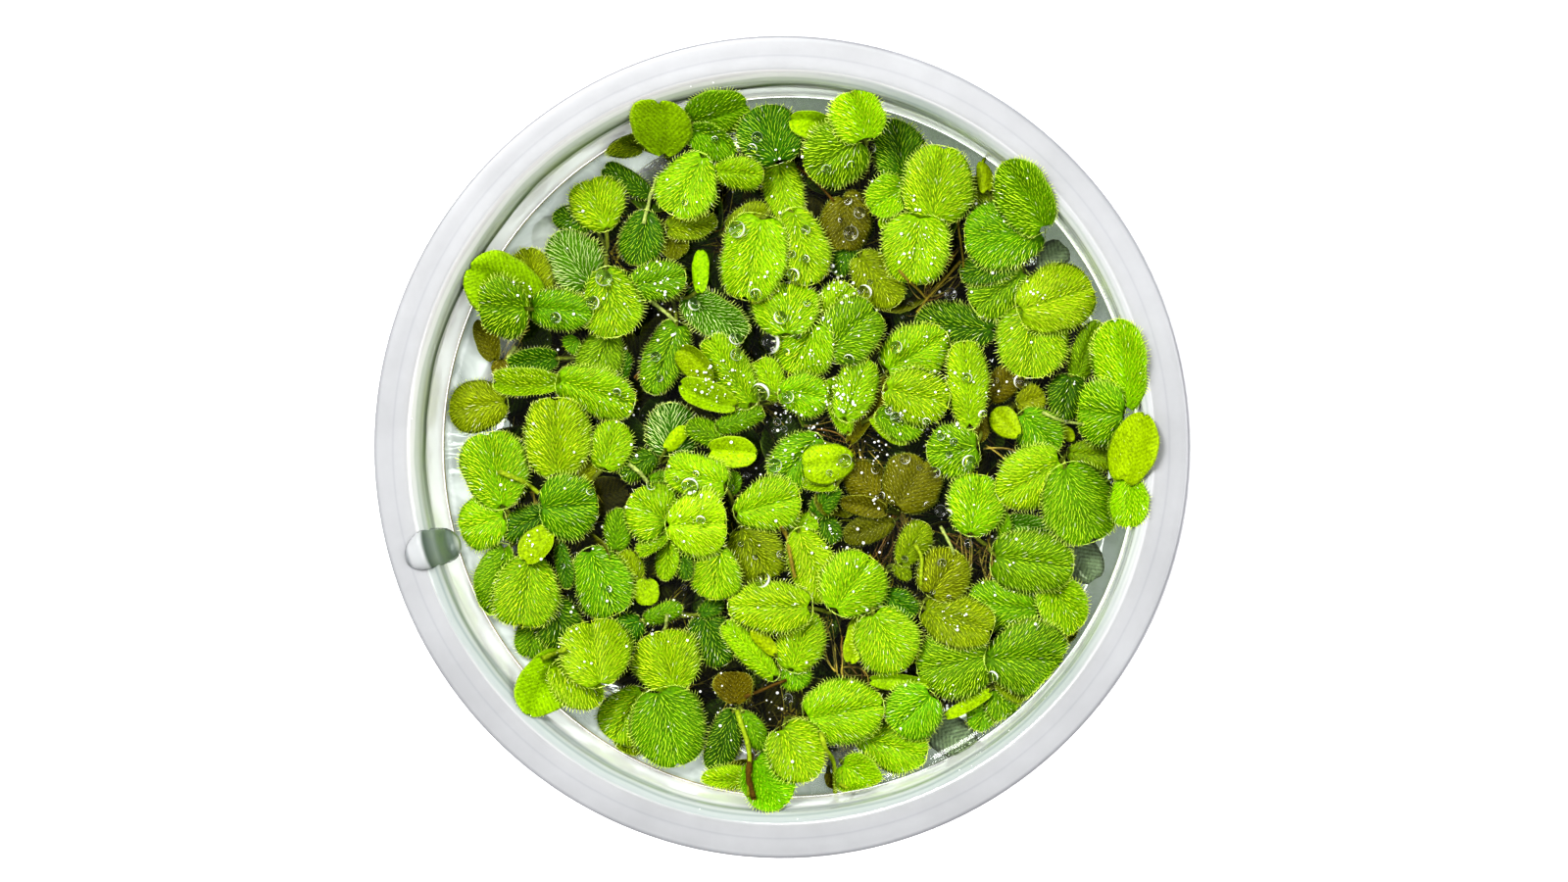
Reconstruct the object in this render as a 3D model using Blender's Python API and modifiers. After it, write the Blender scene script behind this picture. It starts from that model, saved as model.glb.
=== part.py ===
# A round clear plastic tub of water with its surface covered by floating fern plants.
# Lengths are millimetres, made metres by MM when a mesh is written. Z = 0 is the surface under the tub.
import math

import bmesh
import bpy
import numpy as np
from mathutils import Matrix, Vector

MM = 0.001

# Tub: outer radius of the rim flange, height, and the radii of the wall inside it
RIM_RADIUS = 59.0
TUB_HEIGHT = 60.0
LIP_RADIUS = 53.8
WALL_TOP_RADIUS = 51.9
WALL_TOP = 56.0
WATER_LEVEL = 48.0
FLOOR_RADIUS = 46.4
FLOOR = 1.2
FLOOR_ROUND = 1.5
FOOT_ROUND = 1.0
SHEET = 0.8
SKIRT = 7.0
RIM_ROUND = 0.6
TURN_STEPS = 32
WALL_FOOT = FLOOR + FLOOR_ROUND
WALL_SLOPE = (WALL_TOP_RADIUS - FLOOR_RADIUS) / (WALL_TOP - WALL_FOOT)
WATER_RADIUS = FLOOR_RADIUS + WALL_SLOPE * (WATER_LEVEL - WALL_FOOT)

# Gap between pieces that lie on or beside each other
GAP = 0.3

# Plants: a blade's thickness, half a stalk's width, and the radius of the knot where stalks meet
BLADE = 0.34
STALK = 0.34
NODE_RADIUS = 0.75
ROOT_RADIUS = 0.7
ROOT_TIP = 0.35
POCKET_RADIUS = 1.15
POCKET_RISE = 1.0
ROOT_LENGTHS = (11.0, 15.0, 8.5, 13.0, 10.0)
ROOT_SPACING = 3.2
ROOT_SIDES = 4
STALK_SIDES = 3
STALK_STEPS = 12
STALK_HOLD = 0.3
STALK_LENGTH = 2.0
SHORTEST_STALK = 0.8
STALK_PAST = 0.13
FOLD_BACK = 0.3
# only every third plant over open water has its bundle of roots, and narrower leaves are left out
ROOT_EVERY = 3
SMALLEST = 3.8

# How leaves come to lie: near the wall they bend up over a zone inside it
WALL_CLEARANCE = 0.7
WALL_ZONE = 2.0
WALL_CLIMB = 0.6
LEAN = 1.15
MAX_SLOPE = 0.42
SLOPE_SHARES = (0.0, 0.5, 1.0, 1.4)
SETTLE_ROUNDS = 30
CELL = 0.35
MARGIN = 0.25
REACH = 57.0
NODE_SEARCH = 3.0
NODE_TO_WALL = 3.0

# Stations along a blade: share of the length, share of the half width
STATIONS = ((0.13, 0.70), (0.50, 1.0), (0.86, 0.68))
SMALL_STATIONS = ((0.22, 0.86), (0.75, 0.86))
SMALL_WIDTH = 6.9

# How each form stands: rise of the left and right margins over the midrib as a share of the width,
# where the midrib lies between them (-1 left, 1 right), the rise of the base and the tip as a share
# of the width, and the slope up towards the tip
FORMS = {
    "open": (-0.06, -0.06, 0.0, -0.02, -0.04, 0.10),
    "flat": (0.0, 0.0, 0.0, 0.0, 0.0, 0.0),
    "cup": (0.26, 0.26, 0.0, 0.02, 0.06, 0.15),
    "left": (0.42, 0.10, -0.45, 0.0, 0.05, 0.10),
    "right": (0.10, 0.42, 0.45, 0.0, 0.05, 0.10),
    "arch": (-0.22, -0.22, 0.0, -0.10, -0.10, 0.0),
    "bud": (-0.25, -0.25, 0.0, 0.0, 0.0, 0.35),
    "lean": (0.05, 0.05, 0.0, 0.0, 0.0, 0.0),
}

# Leaf colours by tone
TONES = {
    "bright": (0.40, 0.62, 0.03),
    "mid": (0.26, 0.50, 0.03),
    "dark": (0.13, 0.34, 0.03),
    "olive": (0.30, 0.42, 0.04),
    "young": (0.50, 0.70, 0.03),
    "old": (0.20, 0.20, 0.04),
}

# Every plant from the lowest to the highest, as it lies on the water. A leaf is its base, its tip and
# its width seen from above, then its form and its tone
PLANTS = (
    # old sunk leaves between the others
    ((-8.5, 32.0, -2.5, 34.8, 4.0, "flat", "old"), (-8.2, 31.0, -1.0, 31.4, 2.6, "flat", "old")),
    ((-18.5, 32.3, -15.0, 28.0, 4.5, "cup", "old"), (-20.5, 34.0, -22.0, 26.5, 6.0, "open", "dark"),
     (-17.0, 32.0, -10.2, 33.0, 4.5, "flat", "old")),
    ((42.3, 10.2, 45.4, 18.2, 4.4, "open", "mid"), (41.5, 10.0, 40.3, 3.9, 5.2, "open", "dark")),
    ((30.0, 17.0, 18.7, 17.7, 6.8, "open", "dark"), (34.5, 25.2, 27.5, 20.0, 7.0, "open", "mid"),
     (33.5, 27.4, 25.6, 24.8, 5.0, "open", "dark")),
    ((9.8, 30.5, 7.5, 25.0, 3.4, "open", "dark"), (10.5, 27.6, 16.0, 20.6, 7.5, "open", "olive")),
    ((-21.8, -25.6, -26.0, -28.6, 5.0, "open", "dark"), (-20.8, -25.2, -15.4, -23.4, 3.0, "arch", "mid"),
     (-12.3, -25.0, -9.2, -32.0, 6.0, "open", "dark"), (-12.6, -24.5, -9.3, -22.4, 2.8, "open", "dark")),
    ((15.0, -8.2, 9.0, -3.0, 5.6, "arch", "old"), (15.3, -11.0, 8.3, -13.2, 4.2, "flat", "old"),
     (14.4, -9.2, 8.0, -8.0, 3.2, "cup", "old"), (16.6, -8.6, 20.4, -1.8, 8.2, "open", "old")),
    ((-7.6, -37.4, -7.6, -32.8, 5.4, "cup", "old"), (-8.0, -39.0, -10.6, -47.4, 5.0, "open", "dark"),
     (-6.2, -39.0, -3.2, -44.2, 3.4, "open", "mid")),
    ((-19.6, -1.2, -24.4, -4.2, 4.2, "open", "dark"), (-20.2, -4.8, -15.9, -5.0, 2.9, "open", "mid"),
     (-16.8, -0.8, -17.0, 6.4, 7.2, "arch", "mid"), (-17.4, -0.2, -14.4, 2.9, 2.4, "bud", "young")),
    ((-36.0, -23.4, -38.3, -31.0, 5.2, "open", "mid"), (-34.8, -22.6, -32.4, -29.6, 5.8, "open", "dark")),
    ((-42.4, 12.8, -42.6, 10.2, 2.8, "flat", "old"), (-43.4, 13.0, -45.3, 18.8, 3.6, "cup", "old"),
     (-42.0, 6.6, -50.2, 5.2, 7.0, "open", "olive")),
    ((-14.5, 21.8, -5.9, 15.9, 5.0, "right", "dark"), (-12.6, 22.8, -12.4, 28.8, 2.6, "bud", "young"),
     (-22.3, 23.5, -14.4, 25.0, 5.2, "open", "mid"), (-16.2, 17.6, -20.0, 7.8, 5.6, "open", "mid")),
    ((5.4, -10.2, 7.2, -14.0, 3.6, "open", "dark"), (4.4, -9.6, 7.6, -5.8, 3.5, "open", "dark"),
     (0.3, -11.8, 4.7, -10.9, 3.6, "open", "bright"), (2.0, -12.6, 6.3, -22.5, 6.4, "open", "young")),
    ((9.4, 1.0, 14.8, 10.2, 3.4, "right", "old"), (13.0, 4.2, 17.7, 0.4, 2.8, "flat", "young"),
     (13.8, 4.6, 20.4, 3.0, 5.2, "open", "mid"), (9.0, 2.4, 6.9, 10.0, 3.6, "left", "bright"),
     (8.8, 4.4, 12.0, 12.8, 5.6, "open", "bright")),
    ((28.0, 5.6, 28.2, 0.6, 3.2, "flat", "old"), (29.8, 7.2, 33.8, 11.4, 4.6, "open", "old"),
     (28.0, 1.4, 20.8, 0.2, 6.2, "open", "mid"), (27.0, 3.4, 26.3, 15.3, 6.2, "open", "bright")),
    # plants of the lower middle
    ((-21.8, -19.4, -24.4, -15.4, 3.6, "open", "olive"), (-20.7, -19.5, -20.7, -23.3, 4.1, "flat", "young"),
     (-25.3, -15.0, -24.6, -9.0, 4.4, "open", "mid"), (-29.0, -15.5, -25.2, -24.6, 7.9, "open", "mid")),
    ((16.0, -17.2, 18.2, -19.2, 2.4, "flat", "olive"), (14.6, -21.4, 18.8, -24.7, 4.6, "open", "dark"),
     (17.0, -16.8, 20.4, -11.0, 4.9, "open", "olive")),
    ((4.4, 1.2, -1.3, -5.3, 6.6, "open", "mid"), (7.2, -6.0, 2.6, -5.2, 1.8, "cup", "bright"),
     (9.7, -1.9, 2.7, -2.9, 5.4, "open", "young")),
    ((-31.0, 15.7, -32.6, 14.2, 3.4, "flat", "mid"), (-24.2, 10.2, -24.6, 14.4, 3.2, "open", "dark"),
     (-34.4, 13.0, -41.2, 12.0, 3.8, "cup", "dark"), (-26.2, 16.6, -29.4, 7.4, 6.2, "open", "mid"),
     (-33.4, 10.2, -43.2, 10.4, 4.0, "left", "bright"), (-33.0, 9.6, -22.2, 6.1, 6.5, "open", "bright")),
    ((11.0, 36.4, 9.0, 34.6, 4.2, "flat", "old"), (9.4, 36.2, 9.0, 28.5, 7.0, "open", "old"),
     (17.6, 38.6, 15.4, 47.8, 6.8, "open", "dark"), (17.0, 36.4, 14.2, 31.5, 2.8, "cup", "young"),
     (17.4, 37.8, 12.3, 34.6, 5.6, "cup", "bright")),
    ((-20.4, 37.0, -27.0, 41.0, 3.6, "open", "dark"), (-21.4, 42.6, -26.4, 44.6, 5.0, "open", "young"),
     (-14.0, 47.8, -5.8, 50.2, 5.6, "open", "mid"), (-13.6, 45.6, -7.0, 42.5, 5.0, "left", "mid"),
     (-18.4, 42.4, -18.6, 50.0, 8.0, "open", "olive")),
    ((-1.2, 41.2, 0.5, 33.2, 5.4, "open", "bright"), (-0.8, 41.6, -3.2, 49.4, 8.6, "open", "dark"),
     (-9.8, 40.0, -2.8, 39.4, 4.8, "open", "bright"), (-12.0, 42.0, -16.3, 33.8, 8.0, "open", "bright")),
    ((-29.0, 33.0, -34.6, 33.8, 4.2, "open", "dark"), (-26.6, 32.2, -29.0, 39.2, 7.6, "open", "bright"),
     (-29.4, 24.4, -34.0, 31.0, 6.6, "open", "dark"), (-26.2, 25.6, -24.5, 16.0, 8.3, "open", "bright")),
    ((38.5, -23.6, 42.2, -28.0, 3.8, "flat", "olive"), (36.5, -23.6, 26.5, -22.6, 7.0, "open", "mid"),
     (38.6, -20.0, 42.8, -26.4, 6.4, "cup", "bright")),
    ((29.8, -36.2, 28.0, -41.2, 5.0, "open", "mid"), (30.7, -35.2, 34.3, -39.8, 5.4, "open", "mid"),
     (31.0, -34.4, 37.0, -36.8, 3.0, "flat", "olive"), (29.6, -35.6, 23.3, -39.2, 2.0, "cup", "young"),
     (29.8, -30.2, 19.4, -32.4, 9.4, "open", "mid"), (30.0, -30.6, 41.6, -30.8, 10.4, "open", "mid")),
    ((32.6, -11.0, 41.0, -13.2, 3.6, "right", "bright"), (31.9, -14.6, 31.8, -9.2, 2.2, "open", "mid"),
     (27.8, -12.6, 29.4, -4.4, 8.0, "open", "bright"), (30.8, -16.0, 42.0, -17.3, 8.2, "open", "mid")),
    ((-16.5, -35.2, -18.8, -27.0, 9.5, "open", "bright"), (-21.8, -41.4, -24.6, -45.6, 4.4, "flat", "olive"),
     (-21.5, -36.0, -25.6, -43.2, 7.4, "open", "bright"), (-18.4, -36.0, -15.6, -46.6, 9.8, "open", "mid")),
    ((-5.3, -46.2, -9.5, -47.3, 1.8, "cup", "old"), (-5.2, -48.6, -12.4, -49.0, 4.8, "open", "bright"),
     (-4.3, -45.6, 0.9, -51.6, 7.4, "lean", "mid")),
    ((6.0, -47.6, 7.0, -49.8, 1.6, "cup", "old"), (11.0, -42.4, 20.6, -45.0, 6.5, "open", "bright"),
     (8.3, -46.3, 13.6, -50.2, 6.2, "cup", "bright")),
    ((20.8, -34.4, 12.4, -33.9, 2.6, "right", "young"), (21.3, -36.0, 16.0, -41.0, 7.6, "open", "mid")),
    # upper plants
    ((-37.4, 21.6, -38.2, 29.2, 6.0, "open", "olive"), (-38.0, 22.2, -46.4, 24.3, 9.4, "open", "bright"),
     (-37.0, 20.4, -27.9, 19.5, 5.3, "open", "mid"), (-37.9, 20.2, -43.9, 20.2, 7.8, "open", "dark")),
    ((5.0, 17.6, 9.6, 23.4, 6.0, "open", "bright"), (6.4, 14.2, 13.4, 20.0, 8.0, "open", "mid"),
     (4.3, 17.8, 0.6, 10.7, 8.8, "open", "bright"), (0.2, 16.6, 0.0, 24.0, 9.4, "open", "bright")),
    ((-30.4, -4.8, -28.3, -0.4, 4.0, "flat", "olive"), (-27.3, -3.0, -25.0, 3.7, 7.0, "open", "bright"),
     (-33.6, -4.4, -33.4, 7.2, 9.6, "open", "bright")),
    ((-40.8, -15.4, -42.9, -24.2, 4.5, "left", "mid"), (-33.6, -14.2, -32.2, -20.8, 2.8, "open", "dark"),
     (-36.8, -16.9, -37.6, -25.8, 8.0, "open", "bright")),
    ((-35.2, -9.6, -42.3, -13.0, 5.0, "open", "dark"), (-35.2, -12.0, -38.5, -16.8, 4.6, "left", "young"),
     (-35.8, -9.0, -27.6, -8.4, 8.8, "open", "mid")),
    ((-41.4, -9.9, -47.0, -10.7, 6.0, "open", "bright"), (-41.5, -8.4, -43.2, 2.1, 9.4, "open", "bright")),
    ((-30.9, -36.6, -28.4, -37.8, 3.0, "flat", "olive"), (-34.2, -32.4, -28.6, -36.4, 4.2, "left", "mid"),
     (-36.0, -31.6, -35.8, -39.2, 6.2, "open", "mid"), (-26.4, -34.2, -28.3, -25.4, 9.0, "open", "bright")),
    ((-9.5, 1.0, -14.2, 3.4, 3.8, "arch", "mid"), (-9.7, 2.8, -3.2, 5.2, 3.2, "arch", "mid"),
     (-10.9, -0.6, -4.1, -1.0, 4.8, "cup", "young")),
    ((-1.0, 7.2, -4.0, 12.6, 5.0, "open", "bright"), (-0.5, 8.0, 6.2, 7.1, 5.6, "open", "bright"),
     (-5.2, 6.5, -11.0, 16.0, 5.4, "open", "bright"), (-11.0, 9.6, -15.5, 14.3, 4.6, "right", "young"),
     (-7.5, 6.0, -15.4, 9.2, 4.4, "left", "young")),
    ((34.0, 6.3, 37.8, 7.4, 4.4, "flat", "olive"), (40.0, 2.9, 41.9, 0.9, 1.9, "bud", "young"),
     (34.6, 4.6, 39.4, -0.8, 6.3, "open", "mid"), (34.4, 1.2, 30.4, 5.3, 4.8, "flat", "young")),
    ((20.6, -23.6, 30.4, -26.6, 6.8, "open", "olive"), (21.4, -21.2, 25.2, -15.2, 7.2, "open", "olive")),
    ((35.4, 19.6, 44.8, 23.0, 9.0, "open", "bright"), (37.0, 19.4, 36.0, 10.0, 10.3, "open", "bright")),
    ((41.4, -0.8, 48.4, -1.6, 4.6, "open", "olive"), (39.9, -2.2, 31.2, -7.4, 8.0, "open", "bright"),
     (40.8, -3.2, 45.0, -13.6, 9.5, "open", "mid")),
    ((-6.6, -12.2, -2.2, -19.4, 7.8, "open", "olive"), (-8.3, -6.8, -7.6, -3.6, 2.8, "open", "mid"),
     (-9.0, -5.5, -17.3, -2.9, 5.8, "open", "bright"), (-7.0, -9.6, 2.2, -7.2, 7.0, "open", "bright")),
    ((15.0, 11.2, 23.6, 16.4, 7.5, "open", "bright"), (15.2, 8.4, 24.0, 6.2, 7.2, "open", "bright")),
    ((29.4, 34.8, 27.4, 39.4, 4.2, "flat", "olive"), (29.2, 37.0, 28.8, 41.6, 2.4, "bud", "young"),
     (37.0, 31.2, 26.2, 30.5, 9.4, "open", "mid"), (37.4, 31.8, 31.6, 40.4, 8.6, "open", "mid")),
    ((-2.0, -33.4, -9.0, -25.7, 4.0, "open", "bright"), (0.2, -31.6, 2.5, -35.2, 4.8, "open", "mid"),
     (0.9, -32.2, 3.5, -23.9, 6.5, "open", "bright"), (-1.6, -30.1, -4.9, -26.5, 2.3, "bud", "young")),
    ((11.8, -24.0, 9.3, -31.5, 3.8, "left", "young"), (13.2, -24.4, 17.4, -32.4, 8.6, "open", "bright")),
    ((3.6, -39.5, 14.6, -37.3, 8.6, "open", "bright"), (0.0, -41.0, 4.6, -48.0, 7.6, "open", "bright")),
    ((8.0, 45.2, 1.2, 47.4, 4.4, "right", "young"), (11.0, 44.4, 4.2, 39.6, 7.8, "open", "mid"),
     (11.4, 45.0, 9.6, 50.6, 8.4, "open", "bright")),
    ((49.6, 6.4, 47.3, 17.6, 6.9, "left", "mid"), (49.2, 4.6, 42.7, 5.2, 8.6, "open", "mid")),
    ((3.3, -23.3, -8.3, -23.2, 6.8, "open", "bright"), (7.6, -23.4, 12.7, -16.0, 8.8, "open", "bright")),
    ((21.6, 33.3, 23.4, 43.4, 9.3, "open", "bright"), (20.8, 33.0, 19.6, 23.6, 8.8, "open", "bright")),
    ((-9.4, -15.0, -10.6, -22.2, 6.9, "open", "bright"), (-16.2, -12.9, -14.2, -19.4, 2.9, "open", "dark"),
     (-17.0, -13.0, -17.9, -19.6, 3.8, "open", "bright"), (-17.4, -12.4, -22.0, -15.6, 3.0, "left", "bright"),
     (-17.6, -11.0, -22.8, -7.2, 8.2, "open", "bright"), (-16.8, -11.4, -8.3, -11.0, 9.2, "open", "young")),
    ((1.2, 34.0, 4.0, 23.6, 7.0, "open", "bright"), (-3.4, 33.0, -6.0, 21.4, 9.0, "open", "bright")),
    # a leaf that stands against the wall and leans over the lip
    ((50.2, -4.8, 48.7, -11.2, 6.4, "left", "mid"), (49.6, -3.6, 53.0, 4.6, 6.0, "lean", "young")),
)

BLOCKED = 1e6


def stations(width):
    return SMALL_STATIONS if width < SMALL_WIDTH else STATIONS


def blade_points(leaf):
    """The blade seen from above with its own heights: base, left margin, tip, right margin, middle."""
    base_x, base_y, tip_x, tip_y, width, form, _ = leaf
    rise_left, rise_right, midrib, base_rise, tip_rise, pitch = FORMS[form]
    length = math.hypot(tip_x - base_x, tip_y - base_y)
    along = np.array(((tip_x - base_x) / length, (tip_y - base_y) / length))
    left = np.array((-along[1], along[0]))
    base = np.array((base_x, base_y))
    rib_shift = -midrib * width / 2
    left_side = []
    right_side = []
    for share, half in stations(width):
        middle = base + along * length * share
        left_side.append((*(middle + left * half * width / 2), rise_left * width * half))
        right_side.append((*(middle - left * half * width / 2), rise_right * width * half))
    points = [(base_x, base_y, base_rise * width)]
    points += left_side
    points.append((tip_x, tip_y, tip_rise * width))
    points += reversed(right_side)
    points.append((*(base + along * length * 0.5 + left * rib_shift), 0.0))
    points = np.array(points)
    points[:, 2] += (points[:, :2] - base) @ along * pitch
    return points


def kept_inside(points):
    """Pulls what would pass through the wall inwards, and lets it climb the wall instead."""
    radius = np.hypot(points[:, 0], points[:, 1])
    past = np.maximum(radius - (WATER_RADIUS - WALL_CLEARANCE - WALL_ZONE), 0.0)
    over = past - WALL_ZONE * (1 - np.exp(-past / WALL_ZONE))
    points = points.copy()
    points[:, :2] *= ((radius - over) / radius)[:, None]
    points[:, 2] += over * WALL_CLIMB
    return points


def fan(count):
    """Triangles from the middle point, the last one, to the ring around it."""
    ring = count - 1
    return [(ring, (i + 1) % ring, i) for i in range(ring)]


class Surface:
    """The height of everything laid down so far, on a square grid."""

    def __init__(self):
        self.axis = np.arange(-REACH, REACH + CELL, CELL)
        self.x, self.y = np.meshgrid(self.axis, self.axis, indexing="ij")
        radius = np.hypot(self.x, self.y)
        lip = np.interp(radius, (WALL_TOP_RADIUS, LIP_RADIUS), (WALL_TOP, TUB_HEIGHT))
        self.height = np.where(radius < WATER_RADIUS - WALL_CLEARANCE / 2, WATER_LEVEL, lip)

    def cells(self, corners):
        low = np.clip(((corners.min(axis=0)[:2] + REACH) / CELL).astype(int) - 1, 0, None)
        high = ((corners.max(axis=0)[:2] + REACH) / CELL).astype(int) + 2
        return slice(low[0], high[0]), slice(low[1], high[1])

    def covered(self, triangle, margin):
        """The cells over a triangle grown by a margin, with the triangle's heights there."""
        low = np.min(triangle, axis=0)[:2] - margin
        high = np.max(triangle, axis=0)[:2] + margin
        area = self.cells(np.array((low, high)))
        x, y = self.x[area], self.y[area]
        a, b, c = (np.array(p) for p in triangle)
        normal = np.cross(b - a, c - a)
        if abs(normal[2]) < 1e-6:
            return area, np.zeros_like(x, dtype=bool), x
        inside = np.ones_like(x, dtype=bool)
        turn = math.copysign(1.0, normal[2])
        for start, end in ((a, b), (b, c), (c, a)):
            side = (end[0] - start[0]) * (y - start[1]) - (end[1] - start[1]) * (x - start[0])
            inside &= side * turn >= -margin * math.hypot(end[0] - start[0], end[1] - start[1])
        height = a[2] - ((x - a[0]) * normal[0] + (y - a[1]) * normal[1]) / normal[2]
        return area, inside, np.clip(height, min(a[2], b[2], c[2]), max(a[2], b[2], c[2]))

    def lay(self, points, triangles):
        for triangle in triangles:
            area, inside, height = self.covered([points[i] for i in triangle], MARGIN)
            top = np.where(inside, height, -BLOCKED)
            self.height[area] = np.maximum(self.height[area], top)

    def lay_line(self, path, radius):
        for start, end in zip(path[:-1], path[1:]):
            for share in np.linspace(0, 1, STALK_STEPS):
                self.lay_disc(np.array(start) + (np.array(end) - np.array(start)) * share, radius)

    def disc(self, x, y, radius):
        area = self.cells(np.array(((x - radius, y - radius), (x + radius, y + radius))))
        return area, np.hypot(self.x[area] - x, self.y[area] - y) < radius

    def lay_disc(self, centre, radius):
        area, near = self.disc(centre[0], centre[1], radius + CELL)
        top = np.where(near, centre[2] + radius, -BLOCKED)
        self.height[area] = np.maximum(self.height[area], top)

    def highest(self, x, y, radius):
        area, near = self.disc(x, y, radius + CELL)
        return self.height[area][near].max()


def slope_under(surface, points, triangles):
    """The tilt that suits what lies under a blade, kept to what a floating leaf would take."""
    xs, ys, zs = [], [], []
    for triangle in triangles:
        area, inside, _ = surface.covered([points[i] for i in triangle], 0.0)
        xs.append(surface.x[area][inside])
        ys.append(surface.y[area][inside])
        zs.append(surface.height[area][inside])
    x, y, z = (np.concatenate(values) for values in (xs, ys, zs))
    middle = points[:, :2].mean(axis=0)
    grid = np.column_stack((x - middle[0], y - middle[1], np.ones_like(x)))
    slope = np.linalg.lstsq(grid, z, rcond=None)[0][:2]
    steep = np.hypot(*slope)
    return slope * min(1.0, MAX_SLOPE / max(steep, 1e-6))


def lift_needed(surface, points, triangles):
    """How far a blade must rise to clear what is under it."""
    lift = -BLOCKED
    for triangle in triangles:
        area, inside, height = surface.covered([points[i] for i in triangle], MARGIN)
        if inside.any():
            lift = max(lift, (surface.height[area] - height)[inside].max())
    return lift + BLADE + GAP


def settled(surface, leaf):
    """A blade's top points where it comes to lie: tilted so that it lies lowest, just clear of the rest."""
    leans = leaf[5] == "lean"
    flat = blade_points(leaf) if leans else kept_inside(blade_points(leaf))
    triangles = fan(len(flat))
    middle = flat[:, :2].mean(axis=0)
    if leans:
        slopes = [middle / np.hypot(*middle) * LEAN]
    else:
        slope = slope_under(surface, flat, triangles)
        slopes = [slope * share for share in SLOPE_SHARES]
    tilted = []
    for slope in slopes:
        points = flat.copy()
        points[:, 2] += (points[:, :2] - middle) @ slope
        points[:, 2] += lift_needed(surface, points, triangles)
        tilted.append(points)
    return min(tilted, key=lambda points: points[:, 2].mean()), triangles


def behind(points):
    """Seen from above, a short stalk's length behind a blade's base."""
    base = points[0][:2]
    along = points[-1][:2] - base
    return base - along / np.hypot(*along) * STALK_LENGTH


def folds_back(points, spot):
    """Whether a stalk from the spot to the blade's base would have to turn back under the blade."""
    along = points[-1][:2] - points[0][:2]
    run = points[0][:2] - spot
    length = np.hypot(*run)
    return length < SHORTEST_STALK or run @ along < length * np.hypot(*along) * FOLD_BACK


def node_place(surface, blades, rooted):
    """Where a plant's stalks meet: behind its leaves, over open water if there is some nearby."""
    middle = np.mean([behind(points) for points in blades], axis=0)
    middle *= min(1.0, (WATER_RADIUS - NODE_TO_WALL) / np.hypot(*middle))
    steps = np.arange(-NODE_SEARCH, NODE_SEARCH + 0.1, 0.5)
    spots = []
    for dx in steps:
        for dy in steps:
            spot = middle + (dx, dy)
            if np.hypot(*spot) <= WATER_RADIUS - NODE_TO_WALL:
                folded = sum(folds_back(points, spot) for points in blades)
                spots.append((folded, math.hypot(dx, dy), *spot))
    spots.sort()
    for folded, _, x, y in spots:
        if folded > spots[0][0]:
            break
        apart = all(math.hypot(x - other[0], y - other[1]) > ROOT_SPACING for other in rooted)
        if apart and surface.highest(x, y, POCKET_RADIUS + GAP) <= WATER_LEVEL:
            return x, y, True
    return spots[0][2], spots[0][3], False


def stalk_start(points):
    """Inside the blade, just past its base along the midrib."""
    start = points[0] + (points[-1] - points[0]) * STALK_HOLD
    return start - np.array((0.0, 0.0, BLADE / 2))


def clear_stalks(below, blades, node):
    """Raises the node, and the blades where need be, until no stalk touches an older plant."""
    shares = np.linspace(0.1, 0.95, STALK_STEPS)
    for _ in range(SETTLE_ROUNDS):
        node_rise = 0.0
        for points in blades:
            start = stalk_start(points)
            blade_rise = 0.0
            for share in shares:
                spot = start + (node - start) * share
                short = below.highest(spot[0], spot[1], STALK) + GAP + STALK - spot[2]
                if short > 0:
                    node_rise = max(node_rise, short * share)
                    blade_rise = max(blade_rise, short * (1 - share))
            points[:, 2] += blade_rise
        node[2] += node_rise
        if node_rise == 0:
            break


def arranged():
    """Every plant with its settled blades, its node and whether it has open water for roots."""
    surface = Surface()
    rooted = []
    plants = []
    for leaves in PLANTS:
        below = Surface()
        below.height = surface.height.copy()
        blades = []
        for leaf in leaves:
            if leaf[4] < SMALLEST:
                continue
            points, triangles = settled(surface, leaf)
            surface.lay(points, triangles)
            blades.append(points)
        x, y, is_open = node_place(below, blades, rooted)
        node = np.array((x, y, below.highest(x, y, NODE_RADIUS) + GAP + NODE_RADIUS))
        clear_stalks(below, blades, node)
        for points in blades:
            surface.lay(points, fan(len(points)))
            surface.lay_line((stalk_start(points), node), STALK)
        surface.lay_disc(node, NODE_RADIUS)
        if is_open:
            rooted.append((x, y))
        plants.append((blades, node, is_open))
    return plants


def material(name, colour, roughness, transmission=0.0, ior=1.45):
    made = bpy.data.materials.new(name)
    made.use_nodes = True
    shader = made.node_tree.nodes["Principled BSDF"]
    shader.inputs["Base Color"].default_value = (*colour, 1.0)
    shader.inputs["Roughness"].default_value = roughness
    shader.inputs["Metallic"].default_value = 0.0
    shader.inputs["Transmission Weight"].default_value = transmission
    shader.inputs["IOR"].default_value = ior
    return made


def object_from(name, mesh, collection):
    made = bpy.data.objects.new(name, mesh)
    collection.objects.link(made)
    return made


def turned(name, profile, collection):
    """A profile of (radius, height) from the axis out and back to it, turned around Z."""
    mesh = bpy.data.meshes.new(name)
    points = [(radius * MM, 0.0, height * MM) for radius, height in profile]
    mesh.from_pydata(points, [(i, i + 1) for i in range(len(points) - 1)], [])
    made = object_from(name, mesh, collection)
    screw = made.modifiers.new("turn", "SCREW")
    screw.steps = TURN_STEPS
    screw.render_steps = TURN_STEPS
    screw.use_merge_vertices = True
    screw.merge_threshold = 0.00001
    return made


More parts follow.
